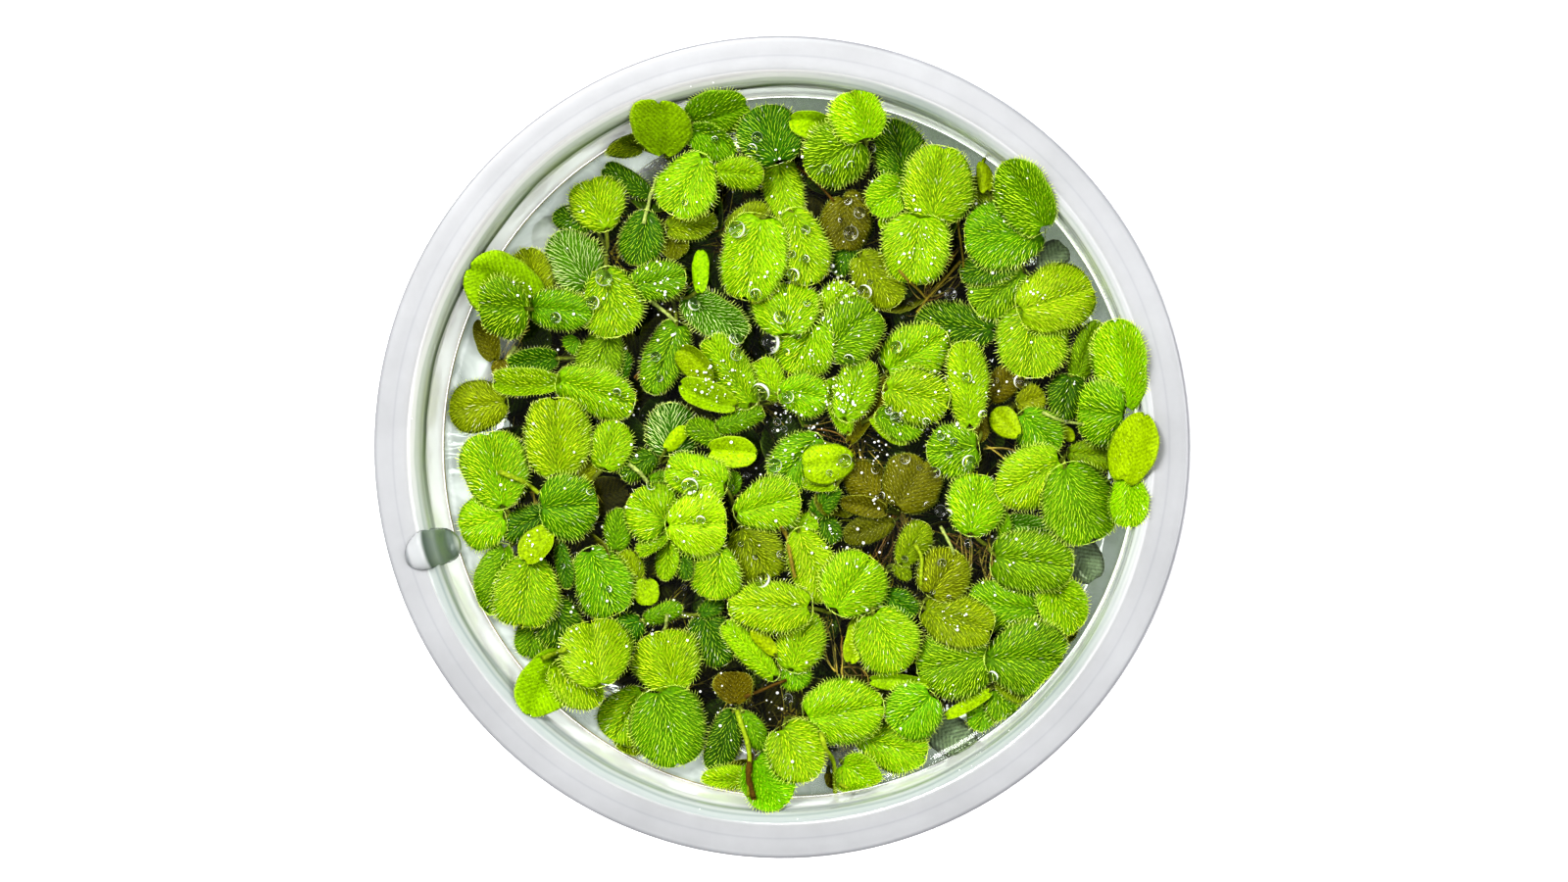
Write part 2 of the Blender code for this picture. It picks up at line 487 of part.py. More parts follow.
def tub_profile():
    """Out from under the floor: floor, inner wall, lip, flange, skirt, outer wall, foot."""
    return (
        (0.0, FLOOR),
        (FLOOR_RADIUS - FLOOR_ROUND, FLOOR),
        (FLOOR_RADIUS, WALL_FOOT),
        (WALL_TOP_RADIUS, WALL_TOP),
        (LIP_RADIUS, TUB_HEIGHT),
        (RIM_RADIUS - RIM_ROUND, TUB_HEIGHT),
        (RIM_RADIUS, TUB_HEIGHT - RIM_ROUND),
        (RIM_RADIUS, TUB_HEIGHT - SKIRT),
        (RIM_RADIUS - SHEET, TUB_HEIGHT - SKIRT),
        (RIM_RADIUS - SHEET, TUB_HEIGHT - SHEET),
        (LIP_RADIUS + SHEET, TUB_HEIGHT - SHEET),
        (WALL_TOP_RADIUS + SHEET, WALL_TOP),
        (FLOOR_RADIUS + SHEET, FLOOR_ROUND),
        (FLOOR_RADIUS - FOOT_ROUND, 0.0),
        (0.0, 0.0),
    )


def water_profile():
    return (
        (0.0, WATER_LEVEL),
        (WATER_RADIUS - GAP, WATER_LEVEL),
        (FLOOR_RADIUS - GAP, WALL_FOOT + GAP),
        (FLOOR_RADIUS - FLOOR_ROUND - GAP, FLOOR + GAP),
        (0.0, FLOOR + GAP),
    )


def slab(outline, middle, blade):
    """A thin closed solid from its outline and the middle of its blade, the outline's stretch from
    the first to the last place that blade gives. The rest of the outline is a flat strip."""
    shape = bmesh.new()
    down = Vector((0.0, 0.0, BLADE))
    tops = [shape.verts.new(Vector(point) * MM) for point in outline]
    lows = [shape.verts.new((Vector(point) - down) * MM) for point in outline]
    top_middle = shape.verts.new(Vector(middle) * MM)
    low_middle = shape.verts.new((Vector(middle) - down) * MM)
    around = range(blade[0], blade[1] + 1)
    for i, after in zip(around, (*around[1:], around[0])):
        shape.faces.new((top_middle, tops[after], tops[i]))
        shape.faces.new((low_middle, lows[i], lows[after]))
    strip = [i for i in range(len(outline)) if i not in around[1:-1]]
    for i, after in zip(strip[1:-1], strip[2:]):
        shape.faces.new((tops[strip[0]], tops[i], tops[after]))
        shape.faces.new((lows[after], lows[i], lows[strip[0]]))
    for i in range(len(outline)):
        after = (i + 1) % len(outline)
        shape.faces.new((tops[i], lows[i], lows[after], tops[after]))
    return finished(shape)


def blade_slab(points):
    return slab(points[:-1], points[-1], (0, len(points) - 2))


def stalked_slab(points, node):
    """A blade whose base goes on as a flat stalk to the node, or nothing where that would fold back."""
    if folds_back(points, node[:2]):
        return None
    base = points[0]
    along = points[-1][:2] - base[:2]
    along /= np.hypot(*along)
    run = base[:2] - node[:2]
    run /= np.hypot(*run)
    across = np.array((-along[1], along[0], 0.0)) * STALK
    beside = np.array((-run[1], run[0], 0.0)) * STALK
    start = node + np.array((*(-run * STALK_PAST), BLADE / 2))
    outline = [start + beside, base + across, *points[1:-1], base - across, start - beside]
    return slab(outline, points[-1], (1, len(outline) - 2))


def finished(shape):
    bmesh.ops.recalc_face_normals(shape, faces=shape.faces)
    mesh = bpy.data.meshes.new("piece")
    shape.to_mesh(mesh)
    shape.free()
    return mesh


def rod(start, end, start_radius, end_radius, sides):
    """A straight round piece between two points, for a stretch of stalk or a root."""
    start, end = Vector(start), Vector(end)
    shape = bmesh.new()
    bmesh.ops.create_cone(
        shape, cap_ends=True, cap_tris=False, segments=sides,
        radius1=start_radius * MM, radius2=end_radius * MM, depth=(end - start).length * MM)
    turn = (end - start).to_track_quat("Z", "Y").to_matrix().to_4x4()
    place = Matrix.Translation((start + end) / 2 * MM)
    bmesh.ops.transform(shape, matrix=place @ turn, verts=shape.verts)
    return finished(shape)


def knot(centre, radius):
    shape = bmesh.new()
    bmesh.ops.create_uvsphere(shape, u_segments=4, v_segments=2, radius=radius * MM)
    bmesh.ops.translate(shape, vec=Vector(centre) * MM, verts=shape.verts)
    return finished(shape)


def fused(name, meshes, collection):
    """One solid from overlapping closed meshes."""
    joiners = bpy.data.collections.new("joiners")
    bpy.context.scene.collection.children.link(joiners)
    made = object_from(name, meshes[0], collection)
    for mesh in meshes[1:]:
        object_from("joiner", mesh, joiners)
    join = made.modifiers.new("join", "BOOLEAN")
    join.operation = "UNION"
    join.operand_type = "COLLECTION"
    join.collection = joiners
    join.solver = "EXACT"
    graph = bpy.context.evaluated_depsgraph_get()
    whole = bpy.data.meshes.new_from_object(made.evaluated_get(graph))
    made.modifiers.clear()
    made.data = whole
    whole.name = name
    for joiner in list(joiners.objects):
        bpy.data.objects.remove(joiner)
    bpy.data.collections.remove(joiners)
    return made


def build():
    for old in list(bpy.data.objects):
        bpy.data.objects.remove(old, do_unlink=True)
    parts = bpy.data.collections.new("tub of water spangles")
    cutters = bpy.data.collections.new("cutters")
    bpy.context.scene.collection.children.link(parts)
    bpy.context.scene.collection.children.link(cutters)

    clear_plastic = material("clear plastic", (0.93, 0.95, 0.95), 0.15, 0.9, 1.49)
    water_look = material("water", (0.80, 0.86, 0.74), 0.02, 1.0, 1.33)
    greens = {tone: material(tone + " leaf", colour, 0.55) for tone, colour in TONES.items()}

    tub = turned("tub", tub_profile(), parts)
    tub.data.materials.append(clear_plastic)
    water = turned("water", water_profile(), parts)
    water.data.materials.append(water_look)

    plants = arranged()
    pockets = []
    for number, (blades, node, is_open) in enumerate(plants, start=1):
        pieces = [knot(node, NODE_RADIUS)]
        for points in blades:
            whole = stalked_slab(points, node)
            if whole:
                pieces.append(whole)
            else:
                pieces.append(blade_slab(points))
                pieces.append(rod(stalk_start(points), node, STALK, STALK, STALK_SIDES))
        if is_open and number % ROOT_EVERY == 0:
            tip = Vector((node[0], node[1], WATER_LEVEL - ROOT_LENGTHS[number % len(ROOT_LENGTHS)]))
            pieces.append(rod(node, tip, ROOT_RADIUS, ROOT_TIP, ROOT_SIDES))
            pockets.append(rod((node[0], node[1], WATER_LEVEL + POCKET_RISE), tip - Vector((0.0, 0.0, GAP)),
                               POCKET_RADIUS, ROOT_TIP + GAP, ROOT_SIDES))
        plant = fused(f"plant_{number:02d}", pieces, parts)
        plant.data.materials.clear()
        plant.data.materials.append(greens[PLANTS[number - 1][-1][6]])

    for mesh in pockets:
        pocket = object_from("root pocket", mesh, cutters)
        pocket.hide_render = True
        pocket.display_type = "WIRE"
    cut = water.modifiers.new("root pockets", "BOOLEAN")
    cut.operation = "DIFFERENCE"
    cut.operand_type = "COLLECTION"
    cut.collection = cutters
    cut.solver = "EXACT"


build()
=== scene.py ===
# A round clear tub of water with its surface covered by floating ferns, seen from above.
import math

import bmesh
import bpy
import numpy as np
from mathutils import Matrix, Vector


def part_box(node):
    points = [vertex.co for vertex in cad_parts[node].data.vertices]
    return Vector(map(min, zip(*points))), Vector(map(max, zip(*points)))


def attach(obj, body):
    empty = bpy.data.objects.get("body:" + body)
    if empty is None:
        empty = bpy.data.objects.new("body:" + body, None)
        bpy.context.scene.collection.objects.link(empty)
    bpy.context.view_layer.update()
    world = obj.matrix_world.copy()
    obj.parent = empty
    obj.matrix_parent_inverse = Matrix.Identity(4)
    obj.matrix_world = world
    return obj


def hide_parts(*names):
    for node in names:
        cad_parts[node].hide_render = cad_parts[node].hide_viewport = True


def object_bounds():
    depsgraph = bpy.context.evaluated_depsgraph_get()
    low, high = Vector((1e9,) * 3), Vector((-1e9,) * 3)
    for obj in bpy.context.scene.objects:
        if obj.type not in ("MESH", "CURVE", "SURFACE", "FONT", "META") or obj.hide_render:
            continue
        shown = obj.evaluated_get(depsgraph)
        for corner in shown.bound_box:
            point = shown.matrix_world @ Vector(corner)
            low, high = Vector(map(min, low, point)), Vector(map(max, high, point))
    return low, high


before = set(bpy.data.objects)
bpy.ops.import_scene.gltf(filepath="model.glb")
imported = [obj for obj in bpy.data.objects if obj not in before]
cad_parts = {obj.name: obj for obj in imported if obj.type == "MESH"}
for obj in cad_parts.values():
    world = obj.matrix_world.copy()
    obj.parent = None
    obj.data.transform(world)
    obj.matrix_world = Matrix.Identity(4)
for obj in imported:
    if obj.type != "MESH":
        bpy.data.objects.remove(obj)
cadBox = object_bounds()
body = "root"
mm = 0.001
print("frame loaded")

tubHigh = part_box("tub")[1]
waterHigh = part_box("water")[1]
rimRadius = tubHigh.x / mm  # everything below is in millimetres until a mesh is written
tubHeight = tubHigh.z / mm
waterLevel = waterHigh.z / mm
waterRadius = waterHigh.x / mm + 0.3
lipRadius = rimRadius - 5.2
wallTopRadius = rimRadius - 7.1
wallTop = tubHeight - 4.0
wallFoot = (46.4, 2.7)  # radius and height where the wall's inner side meets the rounded floor

# Every plant from the lowest to the highest, as it lies on the water. A leaf is its base, its tip and
# its width seen from above, in millimetres, then its form, unless that is open, and its tone
plantTable = (
    # old sunk leaves between the others
    ((-8.5, 32.0, -2.5, 34.8, 4.4, "flat", "olive"), (-8.2, 31.0, -1.0, 31.4, 2.8, "flat", "smooth")),
    ((-18.5, 32.3, -15.0, 28.0, 4.5, "cup", "old"), (-20.5, 34.0, -22.0, 26.5, 6.0, "dark"),
     (-17.0, 32.0, -10.2, 33.0, 4.5, "flat", "olive")),
    ((42.3, 10.2, 45.4, 18.2, 4.4, "mid"), (41.5, 10.0, 40.3, 3.9, 5.2, "dark")),
    ((30.0, 17.0, 18.7, 17.7, 6.8, "dark"), (34.5, 25.2, 27.5, 20.0, 7.0, "mid"),
     (33.5, 27.4, 25.6, 24.8, 5.0, "dark")),
    ((9.8, 30.5, 7.5, 25.0, 3.4, "dark"), (10.9, 27.6, 16.3, 20.6, 6.2, "olive")),
    ((-21.8, -25.6, -26.0, -28.6, 5.0, "dark"), (-20.8, -25.2, -15.4, -23.4, 3.0, "arch", "mid"),
     (-12.3, -25.0, -9.2, -32.0, 6.0, "dark"), (-12.6, -24.5, -9.3, -22.4, 2.8, "dark")),
    ((15.0, -8.2, 9.0, -3.0, 5.6, "arch", "old"), (15.3, -11.0, 8.3, -13.2, 4.2, "flat", "old"),
     (14.4, -9.2, 8.0, -8.0, 3.2, "cup", "old"), (16.6, -8.6, 20.4, -1.8, 8.2, "old")),
    ((-7.6, -37.4, -7.6, -32.8, 5.4, "cup", "old"), (-8.0, -39.0, -10.6, -47.4, 5.0, "dark"),
     (-6.2, -39.0, -3.2, -44.2, 3.4, "mid")),
    ((-19.6, -1.2, -24.4, -4.2, 4.2, "dark"), (-20.2, -4.8, -15.9, -5.0, 2.9, "mid"),
     (-16.8, -0.8, -17.0, 6.4, 7.2, "arch", "frosty"), (-17.4, -0.2, -14.4, 2.9, 2.4, "bud", "young")),
    ((-36.0, -23.4, -38.3, -31.0, 5.2, "mid"), (-34.8, -22.6, -32.4, -29.6, 5.8, "dark")),
    ((-42.4, 12.8, -42.6, 10.2, 2.8, "flat", "old"), (-43.4, 13.0, -45.3, 18.8, 3.6, "cup", "old"),
     (-42.0, 6.6, -50.2, 5.2, 7.0, "olive")),
    ((-14.5, 21.8, -5.9, 15.9, 5.4, "cup", "frosty"), (-12.6, 22.8, -12.4, 28.8, 2.6, "bud", "young"),
     (-22.3, 23.5, -14.4, 25.0, 5.2, "mid"), (-16.2, 17.6, -20.0, 7.8, 5.6, "mid")),
    ((5.4, -10.2, 7.2, -14.0, 3.6, "dark"), (4.4, -9.6, 7.6, -5.8, 3.5, "dark"),
     (0.3, -11.8, 4.7, -10.9, 3.6, "bright"), (2.0, -12.6, 6.3, -22.5, 6.6, "lush")),
    ((9.4, 1.0, 14.8, 10.2, 3.4, "right", "old"), (13.0, 4.2, 17.7, 0.4, 2.8, "flat", "young"),
     (13.8, 4.6, 20.4, 3.0, 5.2, "mid"), (9.0, 2.4, 6.9, 10.0, 3.6, "left", "bright"),
     (8.8, 4.4, 12.0, 12.8, 5.6, "bright")),
    ((28.0, 5.6, 28.2, 0.6, 3.2, "flat", "old"), (29.8, 7.2, 33.8, 11.4, 4.6, "old"),
     (27.8, 0.0, 20.8, -1.2, 7.2, "mid"), (27.0, 3.4, 26.3, 15.3, 5.4, "bright")),
    # plants of the lower middle
    ((-21.8, -19.4, -24.4, -15.4, 3.6, "olive"), (-20.7, -19.5, -20.7, -23.3, 4.1, "flat", "young"),
     (-25.3, -15.0, -24.6, -9.0, 4.4, "mid"), (-29.0, -15.5, -25.2, -24.6, 7.9, "mid")),
    ((16.0, -17.2, 18.2, -19.2, 2.4, "flat", "olive"), (14.6, -21.4, 18.8, -24.7, 4.6, "dark"),
     (17.0, -16.8, 20.4, -11.0, 4.9, "olive")),
    ((4.4, 1.2, -1.3, -5.3, 6.6, "mid"), (7.2, -6.0, 2.6, -5.2, 1.8, "cup", "bright"),
     (9.7, -1.9, 2.7, -2.9, 5.4, "young")),
    ((-31.0, 15.7, -32.6, 14.2, 3.4, "flat", "mid"), (-24.2, 10.2, -24.6, 14.4, 3.2, "dark"),
     (-34.4, 13.0, -41.2, 12.0, 3.8, "cup", "dark"), (-26.2, 16.6, -29.4, 7.4, 6.2, "mid"),
     (-33.4, 9.4, -43.2, 9.7, 4.2, "left", "bright"), (-33.0, 9.6, -22.2, 6.1, 6.5, "bright")),
    ((11.0, 36.4, 9.0, 34.6, 4.2, "flat", "old"), (8.8, 36.0, 8.5, 28.5, 7.0, "old"),
     (17.6, 38.6, 15.4, 47.8, 6.8, "dark"), (17.0, 36.4, 14.2, 31.5, 2.8, "cup", "young"),
     (17.4, 37.8, 12.3, 34.6, 5.6, "cup", "bright")),
    ((-20.4, 37.0, -27.0, 41.0, 3.6, "dark"), (-21.4, 43.8, -26.6, 46.6, 5.4, "olive"),
     (-13.3, 47.2, -4.9, 49.6, 6.0, "lean", "mid"), (-13.6, 45.6, -7.0, 42.5, 5.0, "left", "mid"),
     (-17.7, 42.8, -17.3, 50.0, 8.6, "lean", "smooth")),
    ((-1.2, 41.2, 0.5, 33.2, 5.4, "bright"), (-0.8, 41.6, -3.2, 49.4, 8.6, "dark"),
     (-9.8, 40.0, -2.8, 39.4, 4.8, "bright"), (-12.0, 42.0, -16.3, 33.8, 8.0, "bright")),
    ((-29.0, 33.0, -34.6, 33.8, 4.2, "dark"), (-26.6, 32.2, -29.0, 39.2, 7.6, "bright"),
     (-29.2, 24.2, -34.2, 31.2, 7.4, "frosty"), (-26.2, 25.6, -24.5, 16.0, 8.3, "bright")),
    ((38.5, -23.6, 42.2, -28.0, 3.8, "flat", "olive"), (36.5, -23.6, 26.5, -22.6, 7.0, "mid"),
     (38.6, -20.0, 42.8, -26.4, 6.4, "cup", "bright")),
    ((29.8, -36.2, 28.0, -41.2, 5.0, "mid"), (30.7, -35.2, 34.3, -39.8, 5.4, "mid"),
     (31.0, -34.4, 37.0, -36.8, 3.0, "flat", "olive"), (29.6, -35.6, 23.3, -39.2, 2.0, "cup", "young"),
     (29.8, -30.2, 19.4, -32.4, 9.4, "mid"), (30.0, -30.6, 41.6, -30.8, 10.4, "mid")),
    ((32.6, -11.0, 41.0, -13.2, 3.8, "cup", "frosty"), (31.9, -14.6, 31.8, -9.2, 2.2, "mid"),
     (27.2, -12.3, 28.6, -4.0, 7.6, "bright"), (30.8, -16.0, 42.0, -17.3, 8.2, "mid")),
    ((-16.5, -35.2, -18.8, -27.0, 9.5, "bright"), (-21.8, -41.4, -24.6, -45.6, 4.4, "flat", "olive"),
     (-21.5, -36.0, -25.6, -43.2, 7.4, "bright"), (-18.4, -36.0, -15.6, -46.6, 9.8, "mid")),
    ((-5.3, -46.2, -9.5, -47.3, 1.8, "cup", "old"), (-5.2, -48.6, -12.4, -49.0, 4.8, "bright"),
     (-4.3, -45.6, 0.9, -51.6, 7.4, "lean", "mid")),
    ((6.0, -47.6, 7.0, -49.8, 1.6, "cup", "old"), (11.0, -42.4, 20.6, -45.0, 6.5, "bright"),
     (8.3, -46.3, 13.6, -50.2, 6.2, "cup", "bright")),
    ((20.8, -34.4, 12.4, -33.9, 2.6, "right", "young"), (21.3, -36.0, 16.0, -41.0, 7.6, "mid")),
    # upper plants
    ((-37.4, 21.6, -38.2, 29.2, 6.0, "olive"), (-36.8, 20.8, -45.4, 26.1, 9.6, "lean", "smooth"),
     (-37.0, 20.4, -27.9, 19.5, 5.3, "mid"), (-37.9, 20.2, -44.1, 20.4, 8.0, "mid")),
    ((5.0, 17.6, 9.6, 23.4, 6.0, "bright"), (6.4, 14.2, 13.4, 20.0, 8.0, "mid"),
     (4.3, 17.8, 0.6, 10.7, 8.8, "bright"), (0.2, 16.6, 0.0, 24.0, 9.4, "bright")),
    ((-30.4, -4.8, -28.3, -0.4, 4.0, "flat", "olive"), (-26.8, -3.0, -24.9, 3.7, 5.8, "bright"),
     (-33.8, -3.8, -33.8, 7.2, 9.2, "bright")),
    ((-42.0, -15.0, -44.6, -24.6, 5.6, "left", "mid"), (-33.6, -14.2, -32.2, -20.8, 2.8, "dark"),
     (-37.7, -16.6, -38.7, -26.3, 8.7, "bright")),
    ((-35.2, -9.6, -42.3, -13.0, 5.0, "dark"), (-35.2, -12.0, -38.5, -16.8, 4.6, "left", "young"),
     (-35.8, -9.0, -27.6, -8.4, 8.8, "mid")),
    ((-42.0, -10.4, -48.4, -12.2, 7.2, "bright"), (-42.0, -8.4, -44.0, 2.1, 9.0, "bright")),
    ((-30.9, -36.6, -28.4, -37.8, 3.0, "flat", "olive"), (-32.6, -30.6, -36.2, -38.9, 8.0, "lean", "smooth"),
     (-33.0, -32.0, -26.8, -37.4, 5.6, "left", "bright"), (-26.4, -34.2, -28.3, -25.4, 9.0, "bright")),
    ((-9.5, 1.0, -14.2, 3.4, 3.8, "arch", "mid"), (-9.7, 2.8, -3.2, 5.2, 3.2, "arch", "mid"),
     (-10.9, -0.6, -4.1, -1.0, 4.8, "cup", "young")),
    ((-1.0, 7.2, -4.0, 12.6, 5.0, "bright"), (-0.5, 8.0, 6.2, 7.1, 5.6, "bright"),
     (-5.2, 6.5, -11.0, 16.0, 5.4, "bright"), (-11.0, 9.6, -15.5, 14.3, 4.6, "right", "young"),
     (-7.5, 6.0, -15.4, 9.2, 4.4, "left", "young")),
    ((34.0, 6.3, 37.8, 7.4, 4.4, "flat", "olive"), (40.0, 2.9, 41.9, 0.9, 1.9, "bud", "young"),
     (34.6, 4.6, 39.4, -0.8, 6.3, "mid"), (33.9, 1.8, 30.1, 5.3, 4.2, "flat", "young")),
    ((20.6, -23.6, 30.4, -26.6, 6.8, "olive"), (21.4, -21.2, 25.2, -15.2, 7.2, "olive")),
    ((36.3, 19.6, 35.6, 10.0, 9.7, "bright"), (34.7, 19.8, 44.9, 23.2, 9.0, "lush")),
    ((41.4, -0.8, 48.4, -1.6, 4.6, "olive"), (39.9, -2.2, 31.2, -7.4, 8.0, "bright"),
     (40.8, -3.2, 45.0, -13.6, 9.5, "mid")),
    ((-6.6, -12.2, -2.2, -19.4, 7.8, "olive"), (-8.3, -6.8, -7.6, -3.6, 2.8, "mid"),
     (-9.0, -5.5, -17.3, -2.9, 5.8, "bright"), (-7.0, -9.6, 2.2, -7.2, 7.0, "bright")),
    ((15.0, 11.2, 23.6, 16.4, 7.5, "bright"), (15.2, 8.4, 24.0, 6.2, 7.2, "bright")),
    ((29.4, 34.8, 27.4, 39.4, 4.2, "flat", "olive"), (29.2, 37.0, 28.8, 41.6, 2.4, "bud", "young"),
     (37.0, 31.2, 26.2, 30.5, 9.4, "mid"), (37.6, 31.6, 32.4, 40.7, 8.6, "lean", "mid")),
    ((-2.0, -33.4, -9.0, -25.7, 4.0, "bright"), (0.2, -31.6, 2.5, -35.2, 4.8, "mid"),
     (0.9, -32.2, 3.5, -23.9, 6.5, "bright"), (-1.6, -30.1, -4.9, -26.5, 2.3, "bud", "young")),
    ((11.8, -24.0, 9.3, -31.5, 3.8, "left", "young"), (13.2, -24.4, 17.4, -32.4, 8.6, "bright")),
    ((3.6, -39.5, 14.6, -37.3, 8.6, "bright"), (0.0, -41.0, 4.6, -48.0, 7.6, "bright")),
    ((8.0, 45.2, 1.2, 47.4, 4.4, "right", "young"), (10.8, 44.4, 3.5, 39.7, 8.2, "mid"),
     (11.9, 44.6, 10.3, 51.0, 8.2, "lean", "bright")),
    ((49.7, 5.8, 48.2, 18.2, 8.4, "lean", "bright"), (49.2, 4.6, 42.7, 5.2, 8.6, "mid")),
    ((3.3, -23.3, -8.3, -23.2, 6.8, "bright"), (7.6, -23.4, 12.7, -16.0, 8.8, "bright")),
    ((21.6, 33.3, 23.4, 43.4, 9.3, "bright"), (19.9, 33.0, 18.6, 23.6, 9.0, "bright")),
    ((-9.4, -15.0, -10.6, -22.2, 6.9, "bright"), (-16.2, -12.9, -14.2, -19.4, 2.9, "dark"),
     (-17.0, -13.0, -17.9, -19.6, 3.8, "bright"), (-17.4, -12.4, -22.0, -15.6, 3.0, "left", "bright"),
     (-17.6, -11.0, -22.8, -7.2, 8.2, "bright"), (-16.8, -11.4, -8.3, -11.0, 9.2, "lush")),
    ((1.2, 34.0, 4.0, 23.6, 7.0, "bright"), (-3.4, 33.0, -6.0, 21.4, 9.0, "bright")),
    # a leaf that stands against the wall and leans over the lip
    ((50.2, -4.6, 50.2, -11.4, 6.0, "lean", "bright"), (49.4, -4.6, 52.6, 4.8, 7.2, "lean", "sleek")),
)


# How each form stands, as shares of the width: the rise of its left and right margins over the midrib,
# the midrib's place from -1, left, to 1, the rise of base and tip, the pitch, and how its halves bulge
leafForms = {
    "open": (-0.06, -0.06, 0.0, -0.02, -0.04, 0.10, 0.075),
    "flat": (0.0, 0.0, 0.0, 0.0, 0.0, 0.0, 0.05),
    "cup": (0.26, 0.26, 0.0, 0.02, 0.06, 0.15, 0.04),
    "left": (0.42, 0.10, -0.45, 0.0, 0.05, 0.10, 0.05),
    "right": (0.10, 0.42, 0.45, 0.0, 0.05, 0.10, 0.05),
    "arch": (-0.22, -0.22, 0.0, -0.10, -0.10, 0.0, 0.03),
    "bud": (-0.25, -0.25, 0.0, 0.0, 0.0, 0.20, 0.0),
    "lean": (0.08, 0.12, 0.1, 0.0, 0.0, 0.0, 0.07),
}

# Colour, colour of the hairs' tips, hairiness, how strongly the rows between the veins show, and slot
leafTones = {
    "bright": ((0.29, 0.53, 0.001), (0.88, 1.00, 0.05), 1.0, 0.3, "leaf_bright"),
    "lush": ((0.38, 0.62, 0.001), (0.93, 1.00, 0.08), 0.95, 0.3, "leaf_bright"),
    "mid": ((0.17, 0.38, 0.001), (0.74, 0.98, 0.05), 1.0, 0.3, "leaf_mid"),
    "smooth": ((0.33, 0.53, 0.001), (0.60, 0.82, 0.04), 0.45, 0.3, "leaf_mid"),
    "sleek": ((0.38, 0.60, 0.001), (0.75, 0.95, 0.05), 0.4, 0.2, "leaf_bright"),
    "dark": ((0.07, 0.19, 0.001), (0.60, 0.82, 0.06), 1.05, 0.3, "leaf_dark"),
    "frosty": ((0.10, 0.25, 0.002), (0.80, 0.92, 0.42), 1.25, 0.3, "leaf_dark"),
    "olive": ((0.26, 0.36, 0.001), (0.74, 0.84, 0.04), 0.9, 0.3, "leaf_olive"),
    "young": ((0.48, 0.72, 0.001), (0.95, 1.00, 0.10), 0.40, 0.15, "leaf_young"),
    "drowned": ((0.07, 0.19, 0.001), (0.60, 0.82, 0.06), 0.0, 0.0, "leaf_dark"),
    "old": ((0.17, 0.17, 0.003), (0.60, 0.60, 0.20), 0.5, 0.5, "leaf_old"),
}

leafBlade = {
    "thickness": 0.26,
    "marginShape": 0.36,  # lower is blunter at base and tip
    "widest": (0.40, 0.58),  # share of the length, from the base
    "taper": (-0.15, 0.65),
    "widen": 1.12,  # the table's widths leave out the fringe
    "widenFrom": 5.0,  # narrower leaves stay as they are
    "heart": 0.07,  # how far the lobes reach back beside the stalk, share of the length
    "lobeFade": 9.0,
    "notch": 0.045,  # how deep the tip is notched, share of the length
    "notchWidth": 0.35,
    "scallops": (0.040, 0.016),  # how far the margin goes in and out, share of the half width
    "waves": (0.028, 0.022),  # how far the blade rises and falls, share of the width
    "crease": 0.048,
    "creaseWidth": 0.13,
    "ripple": 0.022,  # height of the ridges between hair rows
    "rowSpacing": 0.70,
    "rowAngle": 50.0,
    "steps": (20, 7),  # along, and across on each side of the midrib
    "leanRoom": 0.8,  # over this height a leaning blade is bent flat under the highest point
    "tintsWithLeanLight": (0.91, 1.15),  # of leaves that lie, and of those that lean, painted lighter against the shade they get by tilting from the key light
    "tintJitter": (0.07, 0.05),
    "underTint": 0.8,
}

settling = {
    "clearance": 0.08,
    "wallClearance": 0.25,
    "wallZone": 1.3,
    "wallClimb": 1.2,
    "leanSlopes": (0.5, 0.65, 0.8, 1.0, 1.2),
    "steepest": 0.42,
    "slopeShares": (0.0, 0.5, 1.0, 1.4),
    "margin": 0.15,  # how far round a blade the heap is felt
    "cell": 0.3,
    "reach": 57.0,
    "shore": 0.35,  # how far past the leaves the water goes on, before the lip is felt
}

wallInner = waterRadius - settling["wallClearance"]
wallZone = settling["wallZone"]
bendStart = wallInner - wallZone
leafTop = cadBox[1][2] / mm - 0.40  # the highest that a blade may stand


def wallBend(x, y, z):
    # Near the wall a leaf is bent inwards and up, so that it climbs the wall
    radius = np.hypot(x, y)
    past = np.maximum(radius - bendStart, 0.0)
    over = past - wallZone * (1 - np.exp(-past / wallZone))
    scale = (radius - over) / np.maximum(radius, 1e-6)
    return x * scale, y * scale, z + over * settling["wallClimb"]


def wallUnbend(x, y):
    # Where a point seen from above lies before wallBend, and how much that lifts it
    radius = np.hypot(x, y)
    share = np.clip((radius - bendStart) / wallZone, 0.0, 0.985)
    flat = np.where(radius > bendStart, bendStart - wallZone * np.log(1 - share), radius)
    scale = flat / np.maximum(radius, 1e-6)
    return x * scale, y * scale, (flat - radius) * settling["wallClimb"]


def unit(vectors):
    return vectors / np.maximum(np.linalg.norm(vectors, axis=-1, keepdims=True), 1e-12)


